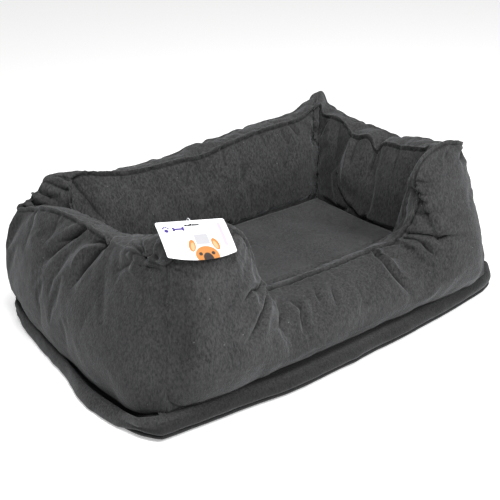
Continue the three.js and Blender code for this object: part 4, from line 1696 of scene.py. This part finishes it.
def card_marks() -> tuple[Mark, ...]:
    """The card's shapes: a paw print, a bone, a pale bar, an animal's head and a grey block."""
    toes = ((0.080, 0.165, 15), (0.103, 0.140, 0), (0.129, 0.140, 0), (0.152, 0.165, -15))
    marks = [Mark(Shape.OVAL, (0.115, 0.235), (0.030, 0.042), VIOLET)]
    marks += [Mark(Shape.OVAL, (x, y), (0.011, 0.026), VIOLET, turn) for x, y, turn in toes]
    marks.append(Mark(Shape.BAR, (0.290, 0.205), (0.065, 0.022), VIOLET))
    knobs = [(x, y) for x in (0.222, 0.358) for y in (0.180, 0.230)]
    marks += [Mark(Shape.OVAL, knob, (0.018, 0.028), VIOLET) for knob in knobs]
    marks.append(Mark(Shape.BAR, (0.885, 0.400), (0.028, 0.300), LAVENDER))
    for ear, side in ((0.390, 1), (0.730, -1)):
        marks.append(Mark(Shape.OVAL, (ear, 0.640), (0.050, 0.150), TAN, 14 * side))
        marks.append(Mark(Shape.OVAL, (ear + 0.005 * side, 0.660), (0.026, 0.100), LIGHT_TAN, 14 * side))
    marks.append(Mark(Shape.OVAL, (0.560, 0.900), (0.170, 0.230), TAN))
    marks.append(Mark(Shape.OVAL, (0.560, 0.980), (0.070, 0.150), BROWN))
    marks += [Mark(Shape.OVAL, (x, 0.850), (0.026, 0.040), BROWN) for x in (0.470, 0.650)]
    marks.append(Mark(Shape.BAR, (0.560, 0.500), (0.100, 0.130), PALE_GREY))
    return tuple(marks)


# ---------------------------------------------------------------- studio


@dataclass
class Studio:
    """The floor, the lights and the camera.

    Attributes:
        azimuth: The camera's place round the bed, in degrees from straight in front.
        elevation: Its height above the horizon, in degrees.
        distance: From its target.
        target: What it looks at, before the two shifts.
        aside: Shift of what it looks at, to its right.
        above: Shift of what it looks at, upwards in the picture.
        lens: Focal length for a 36 mm sensor.
    """

    azimuth: float = -38.62
    elevation: float = 25.99
    distance: float = 1.926
    target: tuple[float, float, float] = (0.0, 0.0, 0.1)
    aside: float = -0.0146
    above: float = 0.0194
    lens: float = 71.75

    def camera(self) -> None:
        """Places the camera."""
        a, e = math.radians(self.azimuth), math.radians(self.elevation)
        back = Vector((math.sin(a) * math.cos(e), -math.cos(a) * math.cos(e), math.sin(e)))
        right = Vector((0, 0, 1)).cross(back).normalized()
        up = back.cross(right)
        data = bpy.data.cameras.new("camera")
        data.lens = self.lens
        data.sensor_width = 36.0
        made = bpy.data.objects.new("camera", data)
        bpy.context.scene.collection.objects.link(made)
        aim = Vector(self.target) + right * self.aside + up * self.above
        made.location = aim + back * self.distance
        made.rotation_euler = back.to_track_quat("Z", "Y").to_euler()
        bpy.context.scene.camera = made

    def lamp(self, name: str, place: tuple[float, float, float], size: float, power: float) -> None:
        """Adds a soft area light aimed at the bed."""
        data = bpy.data.lights.new(name, "AREA")
        data.shape = "DISK"
        data.size = size
        data.energy = power
        made = bpy.data.objects.new(name, data)
        made.location = place
        made.rotation_euler = (Vector(place) - Vector((0, 0, 0.12))).to_track_quat("Z", "Y").to_euler()
        bpy.context.scene.collection.objects.link(made)

    def make(self) -> None:
        """Builds the whole studio."""
        self.camera()
        bpy.ops.object.select_all(action="DESELECT")
        bpy.ops.mesh.primitive_plane_add(size=12.0, location=(0.0, 0.0, -0.0008))
        floor = bpy.context.object
        floor.name = "floor"
        floor.data.materials.append(Plain("pale_floor", (0.93, 0.93, 0.93), 0.7, 0.34).material())
        floor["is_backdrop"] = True
        self.lamp("key", (0.5, -2.2, 2.2), 0.9, 72.0)
        self.lamp("side", (-1.5, -0.7, 2.5), 1.0, 5.0)
        self.lamp("top", (-0.55, -0.60, 1.7), 0.7, 25.0)
        world = bpy.data.worlds.new("studio")
        bpy.context.scene.world = world
        world.use_nodes = True
        backdrop = world.node_tree.nodes["Background"]
        backdrop.inputs["Color"].default_value = (1.0, 1.0, 1.0, 1.0)
        backdrop.inputs["Strength"].default_value = 0.43
        bpy.context.scene.view_settings.view_transform = "Standard"


# ---------------------------------------------------------------- the bed


def main() -> None:
    """Builds the bed in order and reports each piece."""
    logging.basicConfig(level=logging.INFO, format="%(name)s: %(message)s")
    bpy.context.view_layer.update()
    Studio().make()
    nap = nap_group()
    cover = COVER.material(nap)
    under = UNDERSIDE.material(nap)
    printed = Picture("printed_card", (0.76, 0.76, 0.78), card_marks()).material()
    plastic = Plain("loop_plastic", (0.70, 0.72, 0.74), 0.25).material()

    half_long, half_short = 400.0, 260.0
    deck_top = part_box("deck_panel")[1].z
    ring = WallRing(
        [
            front_plan(half_long, half_short * MM),
            right_plan(half_short, half_long * MM),
            back_plan(half_long, half_short * MM),
            left_plan(half_short, half_long * MM),
        ],
        foot_height=deck_top + 0.0005,
        inner_inset=INNER_FOOT_INSET * MM,
        clearing=Clearing(
            CARD_SLOT,
            CARD_ACROSS,
            CARD_NORMAL,
            half_width=0.066,
            above=0.013,
            below=0.072,
            gap=0.008,
            turning=0.009,
        ),
    )
    pieces = ring.make()
    base_cover, base_under = BasePad(PAD_OUTLINE).make()
    pieces.append(base_cover)
    low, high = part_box("cushion_bottom_cover")[0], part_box("cushion_top_cover")[1]
    pieces.append(LooseCushion(low, high).make())
    for piece in pieces:
        piece.data.materials.append(cover)
        LOG.info("%s dressed", piece.name)
    base_under.data.materials.append(under)
    card = HangCard(CARD_ACROSS, CARD_NORMAL, CARD_SIZE)
    card.make(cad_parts["hang_card"]).data.materials.append(printed)
    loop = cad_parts["tag_loop"]
    loop.data.materials.clear()
    loop.data.materials.append(plastic)

    low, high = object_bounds()


if __name__ == "__main__":
    main()
